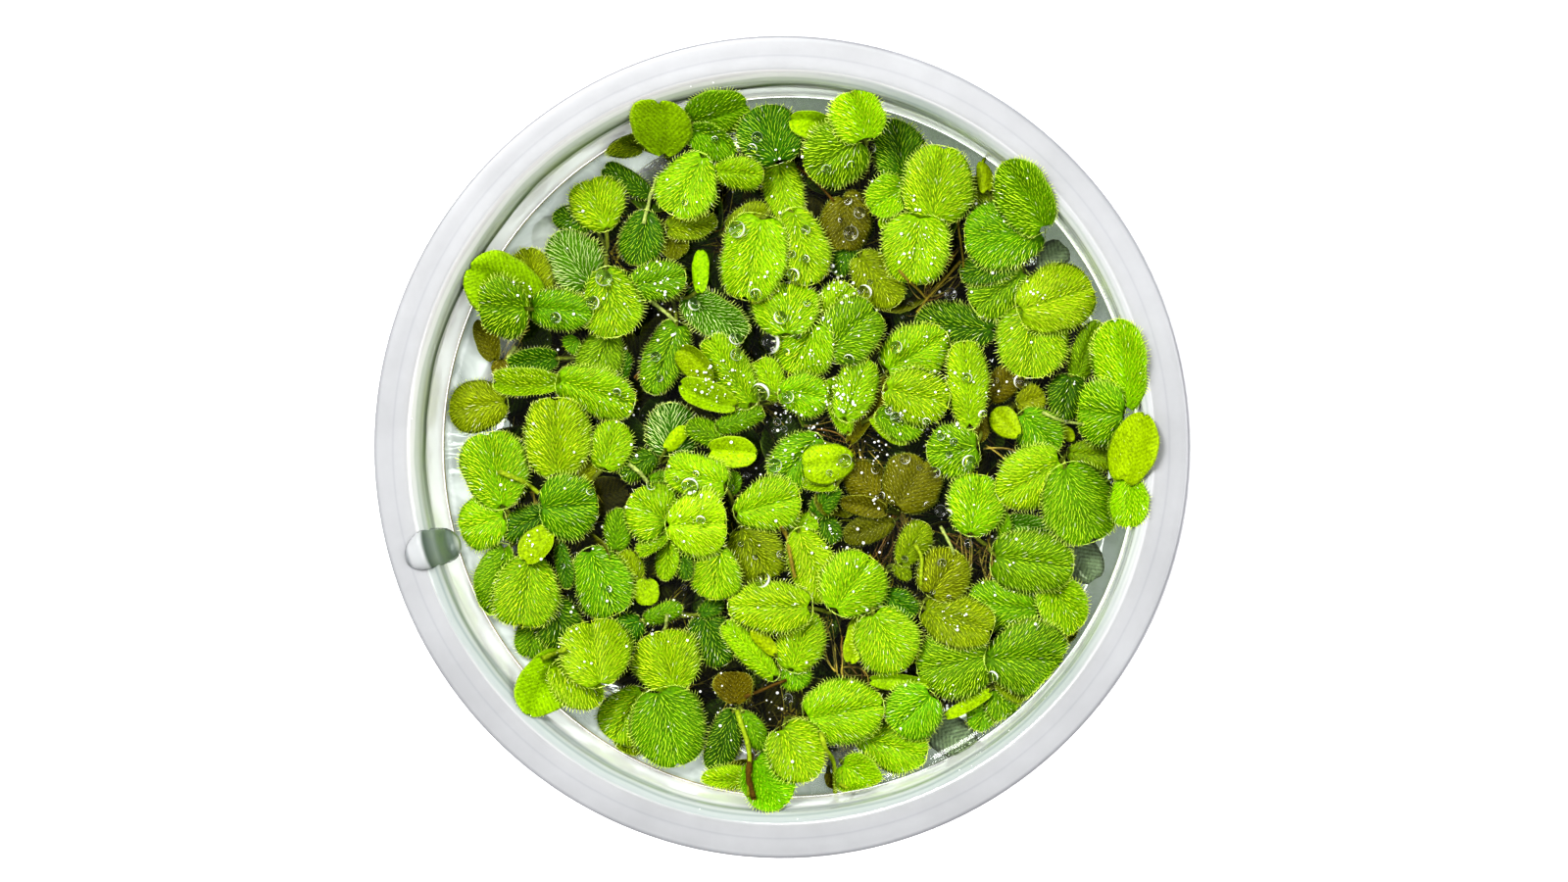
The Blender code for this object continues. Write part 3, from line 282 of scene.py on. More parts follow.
class Leaf:
    # One blade: its own directions, its form and, once settled, its slope and height

    def __init__(self, row, number):
        baseX, baseY, tipX, tipY, width, *form, self.tone = row
        self.form = form[0] if form else "open"
        (self.leftRise, self.rightRise, self.rib, self.baseRise, self.tipRise, self.pitch,
         self.pillow) = leafForms[self.form]
        self.colour, self.hairTip, self.hair, self.rows, self.slot = leafTones[self.tone]
        self.leans = self.form == "lean"
        isWide = width > leafBlade["widenFrom"] and not self.leans
        self.width = width * (leafBlade["widen"] if isWide else 1.0)
        self.base = np.array((baseX, baseY))
        self.length = math.hypot(tipX - baseX, tipY - baseY)
        self.along = np.array((tipX - baseX, tipY - baseY)) / self.length
        self.left = np.array((-self.along[1], self.along[0]))
        self.middle = self.base + self.along * self.length / 2
        self.slope, self.lift = np.zeros(2), 0.0
        self.number = number
        rng = np.random.default_rng(7000 + number)
        self.shift = math.log(0.5) / math.log(rng.uniform(*leafBlade["widest"]))
        self.taper = rng.uniform(*leafBlade["taper"])

    def half(self, u):
        # Every leaf is widest at a place of its own, and most are more pointed at the tip
        place = u ** self.shift
        bulge = np.clip(4 * place * (1 - place), 0, 1)
        return self.width / 2 * bulge ** (leafBlade["marginShape"] * (1 + self.taper * u))

    def ribPlace(self, u):
        return -self.rib * np.clip(4 * u * (1 - u), 0, 1) ** 0.5

    def fromRib(self, u, v):
        # 0 on the midrib, 1 at either margin
        rib = self.ribPlace(u)
        return np.abs(v - rib) / np.where(v > rib, 1 - rib, 1 + rib)

    def shape(self, u, v):
        # Height of the blade over its own plane; v runs from -1, right, to 1, left
        t = self.fromRib(u, v)
        rise = np.where(v > self.ribPlace(u), self.leftRise, self.rightRise)
        share = self.half(u) / (self.width / 2)
        height = rise * share * np.clip(t, 0, 1) ** 1.3
        height += self.pillow * share * np.sin(np.pi * np.clip(t, 0, 1) ** 0.8)
        height -= leafBlade["crease"] * np.exp(-(t / leafBlade["creaseWidth"]) ** 2) * share
        height += self.baseRise * (1 - u) ** 2 + self.tipRise * u ** 2
        long, short = leafBlade["waves"]
        wave = np.sin(self.number * 1.7 + u * 5.0) * long
        wave = wave + np.sin(self.number * 2.9 + v * 2.4 + u * 3.0) * short
        return (height + wave * np.clip(t, 0, 1) ** 2) * self.width + self.pitch * self.length * u

    def plane(self, x, y):
        return (x - self.middle[0]) * self.slope[0] + (y - self.middle[1]) * self.slope[1] + self.lift

    def place(self, u, v):
        # A point of the blade's upper side
        lobes = leafBlade["heart"] * self.length * np.abs(v) * np.exp(-u * leafBlade["lobeFade"])
        notch = leafBlade["notch"] * self.length * np.exp(-(v / leafBlade["notchWidth"]) ** 2) * u ** 8
        s = u * self.length - lobes - notch
        long, short = leafBlade["scallops"]
        wave = np.sin(u * 7.0 + self.number + np.sign(v)) * long
        wave = wave + np.sin(u * 17.0 + self.number * 2.3 + np.sign(v)) * short
        across = v * self.half(u) * (1 + wave * np.abs(v))
        x = self.base[0] + self.along[0] * s + self.left[0] * across
        y = self.base[1] + self.along[1] * s + self.left[1] * across
        z = self.shape(u, v) + self.plane(x, y)
        if not self.leans:
            return wallBend(x, y, z)
        room = leafBlade["leanRoom"]
        over = np.maximum(z - leafTop + room, 0.0)
        return x, y, z - over + room * (1 - np.exp(-over / room))

    def at(self, u, v):
        return np.array(self.place(np.array(u), np.array(v)))

    def cover(self, x, y, margin=0.0):
        # For points seen from above: whether the blade covers them, and how high it is there
        climb = 0.0
        if not self.leans:
            x, y, climb = wallUnbend(x, y)
        s = (x - self.base[0]) * self.along[0] + (y - self.base[1]) * self.along[1]
        across = (x - self.base[0]) * self.left[0] + (y - self.base[1]) * self.left[1]
        u = np.clip(s / self.length, 0.02, 0.98)
        half = self.half(u)
        isIn = (np.abs(across) < half + margin) & (s > -0.04 * self.length - margin)
        isIn &= s < self.length + margin
        v = np.clip(across / half, -1, 1)
        return isIn, self.shape(u, v) + self.plane(x, y) + climb

    def hairRow(self, u, v):
        # Counts the oblique rows that run from the midrib towards the margin and the tip
        across = np.abs(v - self.ribPlace(u)) * self.half(u)
        ahead = across / math.tan(math.radians(leafBlade["rowAngle"]))
        return (u * self.length - ahead) / leafBlade["rowSpacing"]

    def tint(self):
        # The tone's colour with a little of its own for every leaf, painted lighter on leaning leaves
        # against their shade
        rng = np.random.default_rng(self.number)
        level, hue = leafBlade["tintJitter"]
        colour = np.array(self.colour) * leafBlade["tintsWithLeanLight"][self.leans]
        return colour * (1 + rng.normal(0, level)) * (1 + rng.normal(0, hue, 3))


class Heap:
    # The height of everything laid down so far, on a square grid

    def __init__(self):
        axis = np.arange(-settling["reach"], settling["reach"] + settling["cell"], settling["cell"])
        self.x, self.y = np.meshgrid(axis, axis, indexing="ij")
        radius = np.hypot(self.x, self.y)
        lip = np.interp(radius, (wallTopRadius, lipRadius), (wallTop, tubHeight))
        self.height = np.where(radius < wallInner + settling["shore"], waterLevel, lip)

    def cells(self, places):
        return (np.asarray(places) + settling["reach"]) / settling["cell"]

    def window(self, centre, radius):
        low = np.clip(self.cells(centre - radius).astype(int), 0, None)
        high = self.cells(centre + radius).astype(int) + 2
        return slice(low[0], high[0]), slice(low[1], high[1])

    def at(self, x, y):
        i, j = (np.clip(np.round(self.cells(p)).astype(int), 0, len(self.x) - 1) for p in (x, y))
        return self.height[i, j]

    def normal(self, x, y, step=0.5, steepest=0.6):
        slopeX = (self.at(x + step, y) - self.at(x - step, y)) / (2 * step)
        slopeY = (self.at(x, y + step) - self.at(x, y - step)) / (2 * step)
        slopes = (-np.clip(slope, -steepest, steepest) for slope in (slopeX, slopeY))
        return unit(np.stack((*slopes, np.ones_like(slopeX)), axis=-1))

    def settle(self, leaf):
        # Tilts and lifts a leaf so that it lies as low as it can on what is there
        area = self.window(leaf.middle, leaf.length / 2 + leaf.width / 2 + 1.0)
        x, y, under = self.x[area], self.y[area], self.height[area]
        isIn = leaf.cover(x, y, settling["margin"])[0]
        if not isIn.any():
            return
        if leaf.leans:
            slopes = [leaf.middle / np.hypot(*leaf.middle) * slope for slope in settling["leanSlopes"]]
        else:
            points = np.column_stack((x[isIn], y[isIn], np.ones(isIn.sum())))
            slope = np.linalg.lstsq(points, under[isIn], rcond=None)[0][:2]
            slope = slope * min(1.0, settling["steepest"] / max(np.hypot(*slope), 1e-6))
            slopes = [slope * share for share in settling["slopeShares"]]
        best = None
        for slope in slopes:
            leaf.slope, leaf.lift = slope, 0.0
            height = leaf.cover(x, y)[1]
            lift = (under - height)[isIn].max() + leafBlade["thickness"] + settling["clearance"]
            level = height[isIn].mean() + lift
            if best is None or level < best[0]:
                best = (level, slope, lift)
        leaf.slope, leaf.lift = best[1:]
        isIn, height = leaf.cover(x, y)
        self.height[area] = np.where(isIn, np.maximum(under, height), under)


heap = Heap()
plants = []
leafCount = 0
for rows in plantTable:
    leaves = [Leaf(row, leafCount + i + 1) for i, row in enumerate(rows)]
    for leaf in leaves:
        heap.settle(leaf)
    leafCount += len(leaves)
    plants.append(leaves)
print(len(plants), "plants settled,", leafCount, "leaves, mean height", round(float(heap.height.mean()), 2))


def objectFrom(name, mesh):
    made = bpy.data.objects.new(name, mesh)
    bpy.context.scene.collection.objects.link(made)
    return made


def meshFrom(name, points, faces, *materials):
    mesh = bpy.data.meshes.new(name)
    corners = [tuple(int(i) for i in face) for face in faces]
    mesh.from_pydata([tuple(point) for point in np.asarray(points) * mm], [], corners)
    mesh.validate()
    mesh.shade_smooth()
    for material in materials:
        mesh.materials.append(material)
    return mesh


def setValues(mesh, **values):
    # A number, a direction or a colour for each point
    kinds = {1: ("FLOAT", "value"), 3: ("FLOAT_VECTOR", "vector"), 4: ("FLOAT_COLOR", "color")}
    for name, value in values.items():
        value = np.asarray(value, np.float32)
        kind, field = kinds[value.size // len(value)]
        mesh.attributes.new(name, kind, "POINT").data.foreach_set(field, value.ravel())


def opaque(colours):
    return np.column_stack((colours, np.ones(len(colours))))


class Parts:
    # Blades and strands that become one mesh, with the values of their points

    def __init__(self):
        self.points, self.faces, self.values = [], [], {}

    def add(self, piece, colour, **values):
        points, faces = piece
        count = len(points)
        offset = sum(len(earlier) for earlier in self.points)
        self.points.append(points)
        self.faces += [tuple(i + offset for i in face) for face in faces]
        tint = opaque(np.broadcast_to(colour, (count, 3)))
        for name, value in {"tint": tint, **values}.items():
            self.values.setdefault(name, []).append(value if np.ndim(value) else np.full(count, value))

    def piece(self, name, material):
        mesh = meshFrom(name, np.concatenate(self.points), self.faces, material)
        setValues(mesh, **{key: np.concatenate(parts) for key, parts in self.values.items()})
        return objectFrom(name, mesh)


def turnedMesh(name, profile, steps, *materials):
    # An outline of (radius, height) from axis to axis, turned around Z
    points, rings, faces = [], [], []
    angles = np.arange(steps) * 2 * np.pi / steps
    for radius, height in profile:
        if radius < 1e-6:
            rings.append([len(points)] * steps)
            points.append((0.0, 0.0, height))
        else:
            rings.append(list(range(len(points), len(points) + steps)))
            points += [(radius * math.cos(a), radius * math.sin(a), height) for a in angles]
    for low, high in zip(rings, rings[1:]):
        for j in range(steps):
            after = (j + 1) % steps
            face = tuple(dict.fromkeys((low[j], low[after], high[after], high[j])))
            if len(face) > 2:
                faces.append(face)
    mesh = meshFrom(name, points, faces, *materials)
    shape = bmesh.new()
    shape.from_mesh(mesh)
    bmesh.ops.recalc_face_normals(shape, faces=shape.faces)
    shape.to_mesh(mesh)
    shape.free()
    mesh.shade_smooth()
    return mesh


def bladeMesh(leaf, alongSteps, acrossSteps):
    # A closed blade: the upper side, and an under side that meets it at the margin
    u = ((1 - np.cos(np.pi * np.arange(1, alongSteps) / alongSteps)) / 2)[:, None]
    t = (np.arange(acrossSteps + 1) / acrossSteps) ** 0.85
    rib = leaf.ribPlace(u)
    v = np.concatenate((rib - (1 + rib) * t[::-1], rib + (1 - rib) * t[1:]), axis=1)
    u = np.repeat(u, v.shape[1], axis=1)
    rows, columns = u.shape
    x, y, z = leaf.place(u, v)
    row, edge = leaf.hairRow(u, v), leaf.fromRib(u, v)
    ripple = np.sin(row * 2 * np.pi) * leafBlade["ripple"] * leaf.rows
    z = z + ripple * np.sin(np.pi * np.clip(edge, 0, 1))
    upper = np.stack((x, y, z), axis=-1)
    normal = unit(np.cross(np.gradient(upper, axis=0), np.gradient(upper, axis=1)))
    normal *= np.where(normal[..., 2:] < 0, -1, 1)
    depth = leafBlade["thickness"] * (1 - edge ** 3)[..., None]
    if leaf.form == "bud":
        depth = leaf.width * 0.5 * np.sqrt(np.clip(1 - edge ** 2, 0, 1))[..., None]
    lower = upper - normal * depth
    top = np.arange(rows * columns).reshape(rows, columns)
    low = top.copy()
    low[:, 1:-1] = np.arange(rows * (columns - 2)).reshape(rows, columns - 2) + rows * columns
    points = [*upper.reshape(-1, 3), *lower[:, 1:-1].reshape(-1, 3), leaf.at(0.0, 0.0), leaf.at(1.0, 0.0)]
    base, tip = len(points) - 2, len(points) - 1
    faces = []
    for i in range(rows - 1):
        for j in range(columns - 1):
            faces.append((top[i, j], top[i + 1, j], top[i + 1, j + 1], top[i, j + 1]))
            faces.append((low[i, j], low[i, j + 1], low[i + 1, j + 1], low[i + 1, j]))
    for j in range(columns - 1):
        faces += [(base, top[0, j], top[0, j + 1]), (base, low[0, j + 1], low[0, j]),
                  (tip, top[-1, j + 1], top[-1, j]), (tip, low[-1, j], low[-1, j + 1])]
    row, edge = (np.concatenate((grid.ravel(), grid[:, 1:-1].ravel(), (grid[0].mean(), grid[-1].mean())))
                 for grid in (row, edge))
    isUnder = (np.arange(len(points)) >= rows * columns) & (np.arange(len(points)) < base)
    return (np.array(points), faces), row, edge, isUnder


def tube(path, radii, sides=8):
    # A closed round strand along a path
    path = np.array(path, float)
    steps = unit(np.gradient(path, axis=0))
    side = unit(np.cross(steps, (0.13, 0.31, 0.94)))
    other = np.cross(steps, side)
    angles = (np.arange(sides) * 2 * np.pi / sides)[None, :, None]
    ring = side[:, None] * np.cos(angles) + other[:, None] * np.sin(angles)
    points = path[:, None] + ring * np.asarray(radii, float)[:, None, None]
    faces = []
    for i in range(len(path) - 1):
        for j in range(sides):
            a, b = i * sides + j, i * sides + (j + 1) % sides
            faces.append((a + sides, b + sides, b, a))
    faces.append(tuple(range(sides))[::-1])
    faces.append(tuple(range((len(path) - 1) * sides, len(path) * sides)))
    return points.reshape(-1, 3), faces


def arc(start, end, sag, steps=7):
    # From start to end with its middle moved by sag
    start, end, sag = (np.array(p, float) for p in (start, end, sag))
    share = np.linspace(0, 1, steps)[:, None]
    return start + (end - start) * share + sag * 4 * share * (1 - share)


class Nodes:
    # A node tree: each call adds a node, with values or other nodes' outputs put in, and gives its output

    def __init__(self, tree):
        self.tree = tree

    def add(self, kind, inputs=(), out=0, **settings):
        node = self.tree.nodes.new(kind)
        for key, value in settings.items():
            setattr(node, key, value)
        for key, value in dict(inputs).items():
            if isinstance(value, bpy.types.NodeSocket):
                self.tree.links.new(value, node.inputs[key])
            else:
                node.inputs[key].default_value = value
        return node.outputs[out]

    def number(self, operation, *values):
        return self.add("ShaderNodeMath", enumerate(values), operation=operation)

    def product(self, first, *others):
        for other in others:
            first = self.number("MULTIPLY", first, other)
        return first

    def vector(self, operation, *values, out="Vector"):
        return self.add("ShaderNodeVectorMath", enumerate(values), out, operation=operation)

    def scaled(self, value, factor):
        return self.add("ShaderNodeVectorMath", {0: value, "Scale": factor}, operation="SCALE")

    def mapped(self, value, fromLow, fromHigh, low=0.0, high=1.0):
        return self.add("ShaderNodeMapRange", enumerate((value, fromLow, fromHigh, low, high)))

    def radius(self, place):
        return self.vector("LENGTH", self.vector("MULTIPLY", place, (1, 1, 0)), out="Value")


class Surface(Nodes):
    # A Principled material, its sockets set by name

    def __init__(self, name, **values):
        self.material = bpy.data.materials.new(name)
        self.material.use_nodes = True
        super().__init__(self.material.node_tree)
        self.shader = self.tree.nodes["Principled BSDF"]
        for socket, value in values.items():
            self.shader.inputs[socket.replace("_", " ")].default_value = value

    def feed(self, socket, value):
        self.tree.links.new(value, self.shader.inputs[socket])

    def place(self):
        return self.add("ShaderNodeTexCoord", out="Object")

    def carried(self, name, out="Fac"):
        return self.add("ShaderNodeAttribute", out=out, attribute_name=name)

    def noise(self, place, scale, detail, **more):
        return self.add("ShaderNodeTexNoise", {"Vector": place, "Scale": scale, "Detail": detail, **more})

    def mixed(self, share, first, second):
        return self.add("ShaderNodeMix", {0: share, 6: first, 7: second}, 2, data_type="RGBA")

    def ringColours(self, radius, rows):
        # Rows of a radius in mm and the colour there
        low, high = rows[0][0], rows[-1][0]
        colour = self.add("ShaderNodeValToRGB", {0: self.mapped(radius, low * mm, high * mm)})
        elements = colour.node.color_ramp.elements
        while len(elements) < len(rows):
            elements.new(0.5)
        for element, (ring, tint) in zip(elements, rows):
            element.position = (ring - low) / (high - low)
            element.color = (*tint, 1.0)
        return colour

    def bump(self, height, strength, distance):
        self.feed("Normal", self.add("ShaderNodeBump", {
            "Strength": strength, "Distance": distance * mm, "Height": height}))


class PointTree(Nodes):
    # A geometry tree that plants a shape on each point it is given

    def __init__(self, name, numbers, objects=()):
        super().__init__(bpy.data.node_groups.new(name, "GeometryNodeTree"))
        socket = self.tree.interface.new_socket
        socket("Points", in_out="INPUT", socket_type="NodeSocketGeometry")
        for key, value in numbers.items():
            socket(key, in_out="INPUT", socket_type="NodeSocketFloat").default_value = value
        for key in objects:
            socket(key, in_out="INPUT", socket_type="NodeSocketObject")
        socket("Mesh", in_out="OUTPUT", socket_type="NodeSocketGeometry")
        self.given = self.tree.nodes.new("NodeGroupInput").outputs

    def carried(self, name, kind="FLOAT"):
        return self.add("GeometryNodeInputNamedAttribute", {"Name": name}, "Attribute", data_type=kind)

    def marked(self, curve):
        # Stores how far along the curve each of its points is, from 0 to 1
        share = self.add("GeometryNodeSplineParameter")
        inputs = {"Geometry": curve, "Name": "tip", "Value": share}
        return self.add("GeometryNodeStoreNamedAttribute", inputs, data_type="FLOAT", domain="POINT"), share

    def strand(self, curve, share, thinEnd):
        thickness = self.product(self.mapped(share, 0.0, 1.0, 1.0, thinEnd), self.given["Radius"])
        profile = self.add("GeometryNodeCurvePrimitiveCircle", {"Resolution": 3, "Radius": 1.0})
        return self.add("GeometryNodeCurveToMesh", {
            "Curve": curve, "Profile Curve": profile, "Scale": thickness, "Fill Caps": True})

    def planted(self, shape, turn, size):
        instances = self.add("GeometryNodeInstanceOnPoints", {
            "Points": self.given["Points"], "Instance": shape, "Rotation": turn, "Scale": size})
        return self.add("GeometryNodeRealizeInstances", {0: instances})

    def finished(self, geometry, surface):
        painted = self.add("GeometryNodeSetMaterial", {"Geometry": geometry, "Material": surface})
        self.tree.links.new(painted, self.tree.nodes.new("NodeGroupOutput").inputs[0])
        return self.tree


def grow(name, tree, inputs, places, **values):
    # Points that carry values, and what a node tree makes on them, kept as a plain mesh
    points = meshFrom(name + "_points", places, [])
    setValues(points, **values)
    source = objectFrom(points.name, points)
    modifier = source.modifiers.new("nodes", "NODES")
    modifier.node_group = tree
    for item in tree.interface.items_tree:
        if item.name in inputs:
            modifier[item.identifier] = inputs[item.name]
    graph = bpy.context.evaluated_depsgraph_get()
    mesh = bpy.data.meshes.new_from_object(source.evaluated_get(graph))
    source.modifiers.remove(modifier)
    bpy.data.objects.remove(source)
    mesh.shade_smooth()
    return objectFrom(name, mesh)


leafLook = {
    "roughness": 0.5,
    "gloss": 0.09,
    "rows": 0.45,
    "cells": 2600.0,  # scales of the fine grain and of the blotches
    "blotches": 240.0,
    "margin": (0.78, 0.92, 0.16, 1.0),
}


def leafMaterial():
    made = Surface("fern leaf", Roughness=leafLook["roughness"], Specular_IOR_Level=leafLook["gloss"])
    place = made.place()
    wave = made.number("SINE", made.product(made.carried("row"), 2 * math.pi))
    rows = made.product(made.mapped(wave, -1.0, 1.0), made.product(made.carried("relief"), leafLook["rows"]))
    # painted light and shade: lighter on the ridges and darker in the valleys between the hair rows, with a
    # fine grain of the leaf's own
    ridgeShadeAndGrain = made.number("MULTIPLY_ADD", made.noise(place, leafLook["cells"], 2.0), 0.8, rows)
    patches = made.mapped(made.noise(place, leafLook["blotches"], 3.0), 0.3, 0.7, 0.82, 1.16)
    level = made.product(made.mapped(ridgeShadeAndGrain, 0.25, 0.95, 0.35, 1.20), patches)
    margin = made.mapped(made.carried("edge"), 0.92, 0.99, 0.0, 0.25)
    tint = made.scaled(made.carried("tint", "Color"), level)
    made.feed("Base Color", made.mixed(margin, tint, leafLook["margin"]))
    made.bump(ridgeShadeAndGrain, 0.5, 0.2)
    return made.material


def hairMaterial():
    made = Surface("leaf hair", Roughness=0.35, Specular_IOR_Level=0.20)
    share = made.mapped(made.carried("tip"), 0.0, 0.6)
    root, tip = (made.carried(name, "Color") for name in ("tint", "tipTint"))
    made.feed("Base Color", made.mixed(share, root, tip))
    return made.material


hairs = {
    "length": 0.78,
    "radius": 0.085,
    "spacing": 0.50,
    "across": 0.95,  # share of the half width that the rows reach
    "jitter": 0.5,  # share of the spacing
    "stray": 0.09,
    "sway": 0.04,
    "sizes": (0.7, 1.15),
    "shades": (0.65, 1.12),
    "splay": (26, 64),  # degrees from the midrib's direction, at the midrib and at the margin
    "upright": 0.32,  # how much of a hair's direction is straight up from the blade
    "bend": 0.25,
    "thinEnd": 0.3,
    "fringeAt": 0.985,
    "fringeSpacing": 0.40,
    "marginLength": 1.5,  # of one side of a leaf, as a share of the leaf's length
    "fringeLength": 0.74,
    "fringeUpright": 0.15,
    "fringeTip": (0.84, 0.98, 0.26),
    "glintShare": 0.065,  # share of the hairs whose tips are painted white, as highlights
    "glintTip": (1.0, 1.0, 0.72),
    "sparse": (0.5, 0.7),  # below this hairiness only this share of the hairs stands
    "headroom": 0.35,  # a hair is left out where something lies higher than this over its root
    "reach": 0.6,  # or over a place this far along it
}


def hairTree(surface):
    tree = PointTree("leaf hairs", {"Length": 1.0, "Radius": 0.1, "Bend": 0.4})
    bent = tree.product(tree.given["Length"], tree.given["Bend"])
    end = tree.add("ShaderNodeCombineXYZ", {"X": bent, "Z": tree.given["Length"]})
    marked, share = tree.marked(tree.add("GeometryNodeCurvePrimitiveLine", {"End": end}))
    turn = tree.add("FunctionNodeAxesToRotation", {
        "Primary Axis": tree.carried("hairUp", "FLOAT_VECTOR"),
        "Secondary Axis": tree.carried("hairLean", "FLOAT_VECTOR")}, primary_axis="Z", secondary_axis="X")
    hair = tree.strand(marked, share, hairs["thinEnd"])
    return tree.finished(tree.planted(hair, turn, tree.carried("hairSize")), surface)


def hairRoots(leaf):
    # Places, directions, sizes and colours of a blade's hairs: oblique rows and a fringe at the margin
    rng = np.random.default_rng(1000 + leaf.number)
    alongCount = int(leaf.length / hairs["spacing"]) + 1
    acrossCount = int(leaf.width / hairs["spacing"]) + 1
    row, column = np.meshgrid(np.arange(alongCount), np.arange(acrossCount), indexing="ij")
    jitter = rng.uniform(-0.5, 0.5, (2, *row.shape)) * hairs["jitter"]
    u = ((row + 0.5 + jitter[0]) / alongCount).ravel()
    out = ((column + 0.5 * (row % 2) + 0.25 + jitter[1]) / acrossCount * leaf.width - leaf.width / 2).ravel()
    v = out / leaf.half(np.clip(u, 0.01, 0.99))
    isOn = (np.abs(v) < hairs["across"]) & (u > 0.02) & (u < 0.98)
    u, v = u[isOn], v[isOn]
    found = [(u, v, np.where(v > leaf.ribPlace(u), 1, -1), np.zeros(len(u), bool))]
    count = int(leaf.length * hairs["marginLength"] / hairs["fringeSpacing"])
    u = (1 - np.cos(np.pi * (np.arange(count) + 0.5) / count)) / 2
    for side in (-1, 1):
        place = np.full(count, side * hairs["fringeAt"])
        found.append((u, place, np.full(count, side), np.ones(count, bool)))
    u, v, side, isFringe = (np.concatenate(part) for part in zip(*found))
    small = 0.004
    place, ahead, beside = (np.stack(leaf.place(*where), axis=1) for where in (
        (u, v), (np.clip(u + small, 0, 1), v), (u, v + small)))
    normal = unit(np.cross(ahead - place, beside - place))
    normal *= np.where(normal[:, 2:] < 0, -1, 1)
    forwards = unit(ahead - place)
    outwards = unit(beside - place) * side[:, None]
    reach = np.clip(leaf.fromRib(u, v), 0, 1)
    least, most = hairs["splay"]
    angle = np.radians(least + (most - least) * reach)[:, None]
    endwards = (2 * u - 1)[:, None]
    onFringe = isFringe[:, None]
    lean = np.where(
        onFringe, outwards * np.sqrt(np.clip(1 - endwards ** 2, 0.02, 1)) + forwards * endwards,
        outwards * np.sin(angle) + forwards * np.cos(angle))
    lean = unit(lean + rng.normal(0, hairs["stray"], lean.shape) * np.where(onFringe, 0.6, 1.0))
    upright = np.where(onFringe, hairs["fringeUpright"], hairs["upright"])
    direction = normal * upright + lean * (1 - upright)
    direction = unit(direction + rng.normal(0, hairs["sway"], direction.shape))
    size = np.where(isFringe, hairs["fringeLength"] / hairs["length"], 1.0)
    size = size * leaf.hair * rng.uniform(*hairs["sizes"], len(size))
    size *= min(1.0, 0.45 + leaf.width / 14)
    x, y, z = place.T
    isOpen = heap.at(x, y) < z + hairs["headroom"]
    isOpen |= heap.at(*(place + lean * hairs["reach"])[:, :2].T) < z + hairs["headroom"]
    if leaf.hair < hairs["sparse"][0]:
        isOpen &= rng.uniform(size=len(u)) < hairs["sparse"][1]
    shade = rng.uniform(*hairs["shades"], (len(u), 1))
    # the tips turn yellower towards the margin
    share = np.clip((reach - 0.7) / 0.25, 0, 1)[:, None] * (0.9 if leaf.hair > 0.3 else 0.3)
    tipTint = np.array(leaf.hairTip) * shade * (1 - share) + np.array(hairs["fringeTip"]) * share
    # painted highlights: a few hair tips painted white
    hasGlint = rng.uniform(size=(len(u), 1)) < hairs["glintShare"]
    tipTint = np.where(hasGlint, hairs["glintTip"], tipTint)
    return [part[isOpen] for part in (place, direction, lean, size, leaf.tint() * 1.1 * shade, tipTint)]


stalks = {
    "radius": 0.30, "endRadius": 0.36, "sunkenRadius": 0.22, "length": 2.0,
    "start": 0.03,  # share of the leaf's length
    "below": 0.15, "bow": 0.5, "sag": 0.3, "sunkenSag": 0.8,
    "nodeInset": 3.0, "nodeDepth": 0.6,  # the knot's place, from the wall and from the surface
    "colour": (0.30, 0.36, 0.05), "oldShade": 0.4, "sunkenShade": 0.35}

sunken = {
    # depth under the surface in mm, how many leaves, and their size
    "layers": ((2.2, 140, 1.0), (4.8, 140, 1.1), (9.0, 150, 1.15)),
    "reach": 43.5,
    "wall": 47.5,  # no leaf reaches farther out than this
    "jitter": 1.5,
    "drop": 3.0,
    "lengths": (6.0, 10.5),
    "widths": (0.65, 0.85),  # share of the length
    "steepest": 0.45,
    "steps": (9, 3),
    "relief": 0.6,
    "colours": ((0.050, 0.100, 0.001), (0.075, 0.135, 0.002), (0.085, 0.080, 0.003), (0.110, 0.125, 0.004)),
    # pale ones that show in the clear water by the wall: base x, y, tip x, y and width
    "pale": ((41.0, -13.0, 45.0, -19.5, 5.5), (21.0, -40.0, 27.5, -44.5, 5.5),
             (-33.0, 28.5, -37.0, 33.5, 5.5), (37.0, 25.5, 40.5, 29.5, 4.5)),
    "paleDepth": 0.7,
    "paleColour": (0.60, 0.72, 0.46),
}


def sunkenLeaves():
    # Older leaves that have sunk under the mat, spread on a sunflower pattern with jitter
    rng = np.random.default_rng(77)
    made = []

    def add(row, slope, lift, colour):
        leaf = Leaf((*row, "drowned"), 500 + len(made))
        leaf.leans = True  # no wall bend this deep
        leaf.slope, leaf.lift, leaf.colour = slope, lift, np.array(colour)
        made.append(leaf)

    goldenAngle = 2.39996
    for depth, count, size in sunken["layers"]:
        for i in range(count):
            radius = sunken["reach"] * math.sqrt((i + 0.5) / count)
            azimuth = i * goldenAngle + depth
            place = np.array((math.cos(azimuth), math.sin(azimuth))) * radius
            place = place + rng.normal(0, sunken["jitter"], 2)
            way = rng.uniform(0, 2 * np.pi)
            length = rng.uniform(*sunken["lengths"]) * size
            step = np.array((math.cos(way), math.sin(way))) * length / 2
            place *= min(1.0, (sunken["wall"] - length / 2) / np.hypot(*place))
            form = ("arch", "cup", "open", "left")[rng.integers(4)]
            row = (*(place - step), *(place + step), length * rng.uniform(*sunken["widths"]), form)
            slope = rng.uniform(-1, 1, 2) * sunken["steepest"]
            lift = waterLevel - depth - rng.uniform(0.0, sunken["drop"])
            add(row, slope, lift, sunken["colours"][rng.integers(len(sunken["colours"]))])
    for row in sunken["pale"]:
        add(row, np.zeros(2), waterLevel - sunken["paleDepth"], sunken["paleColour"])
    return made


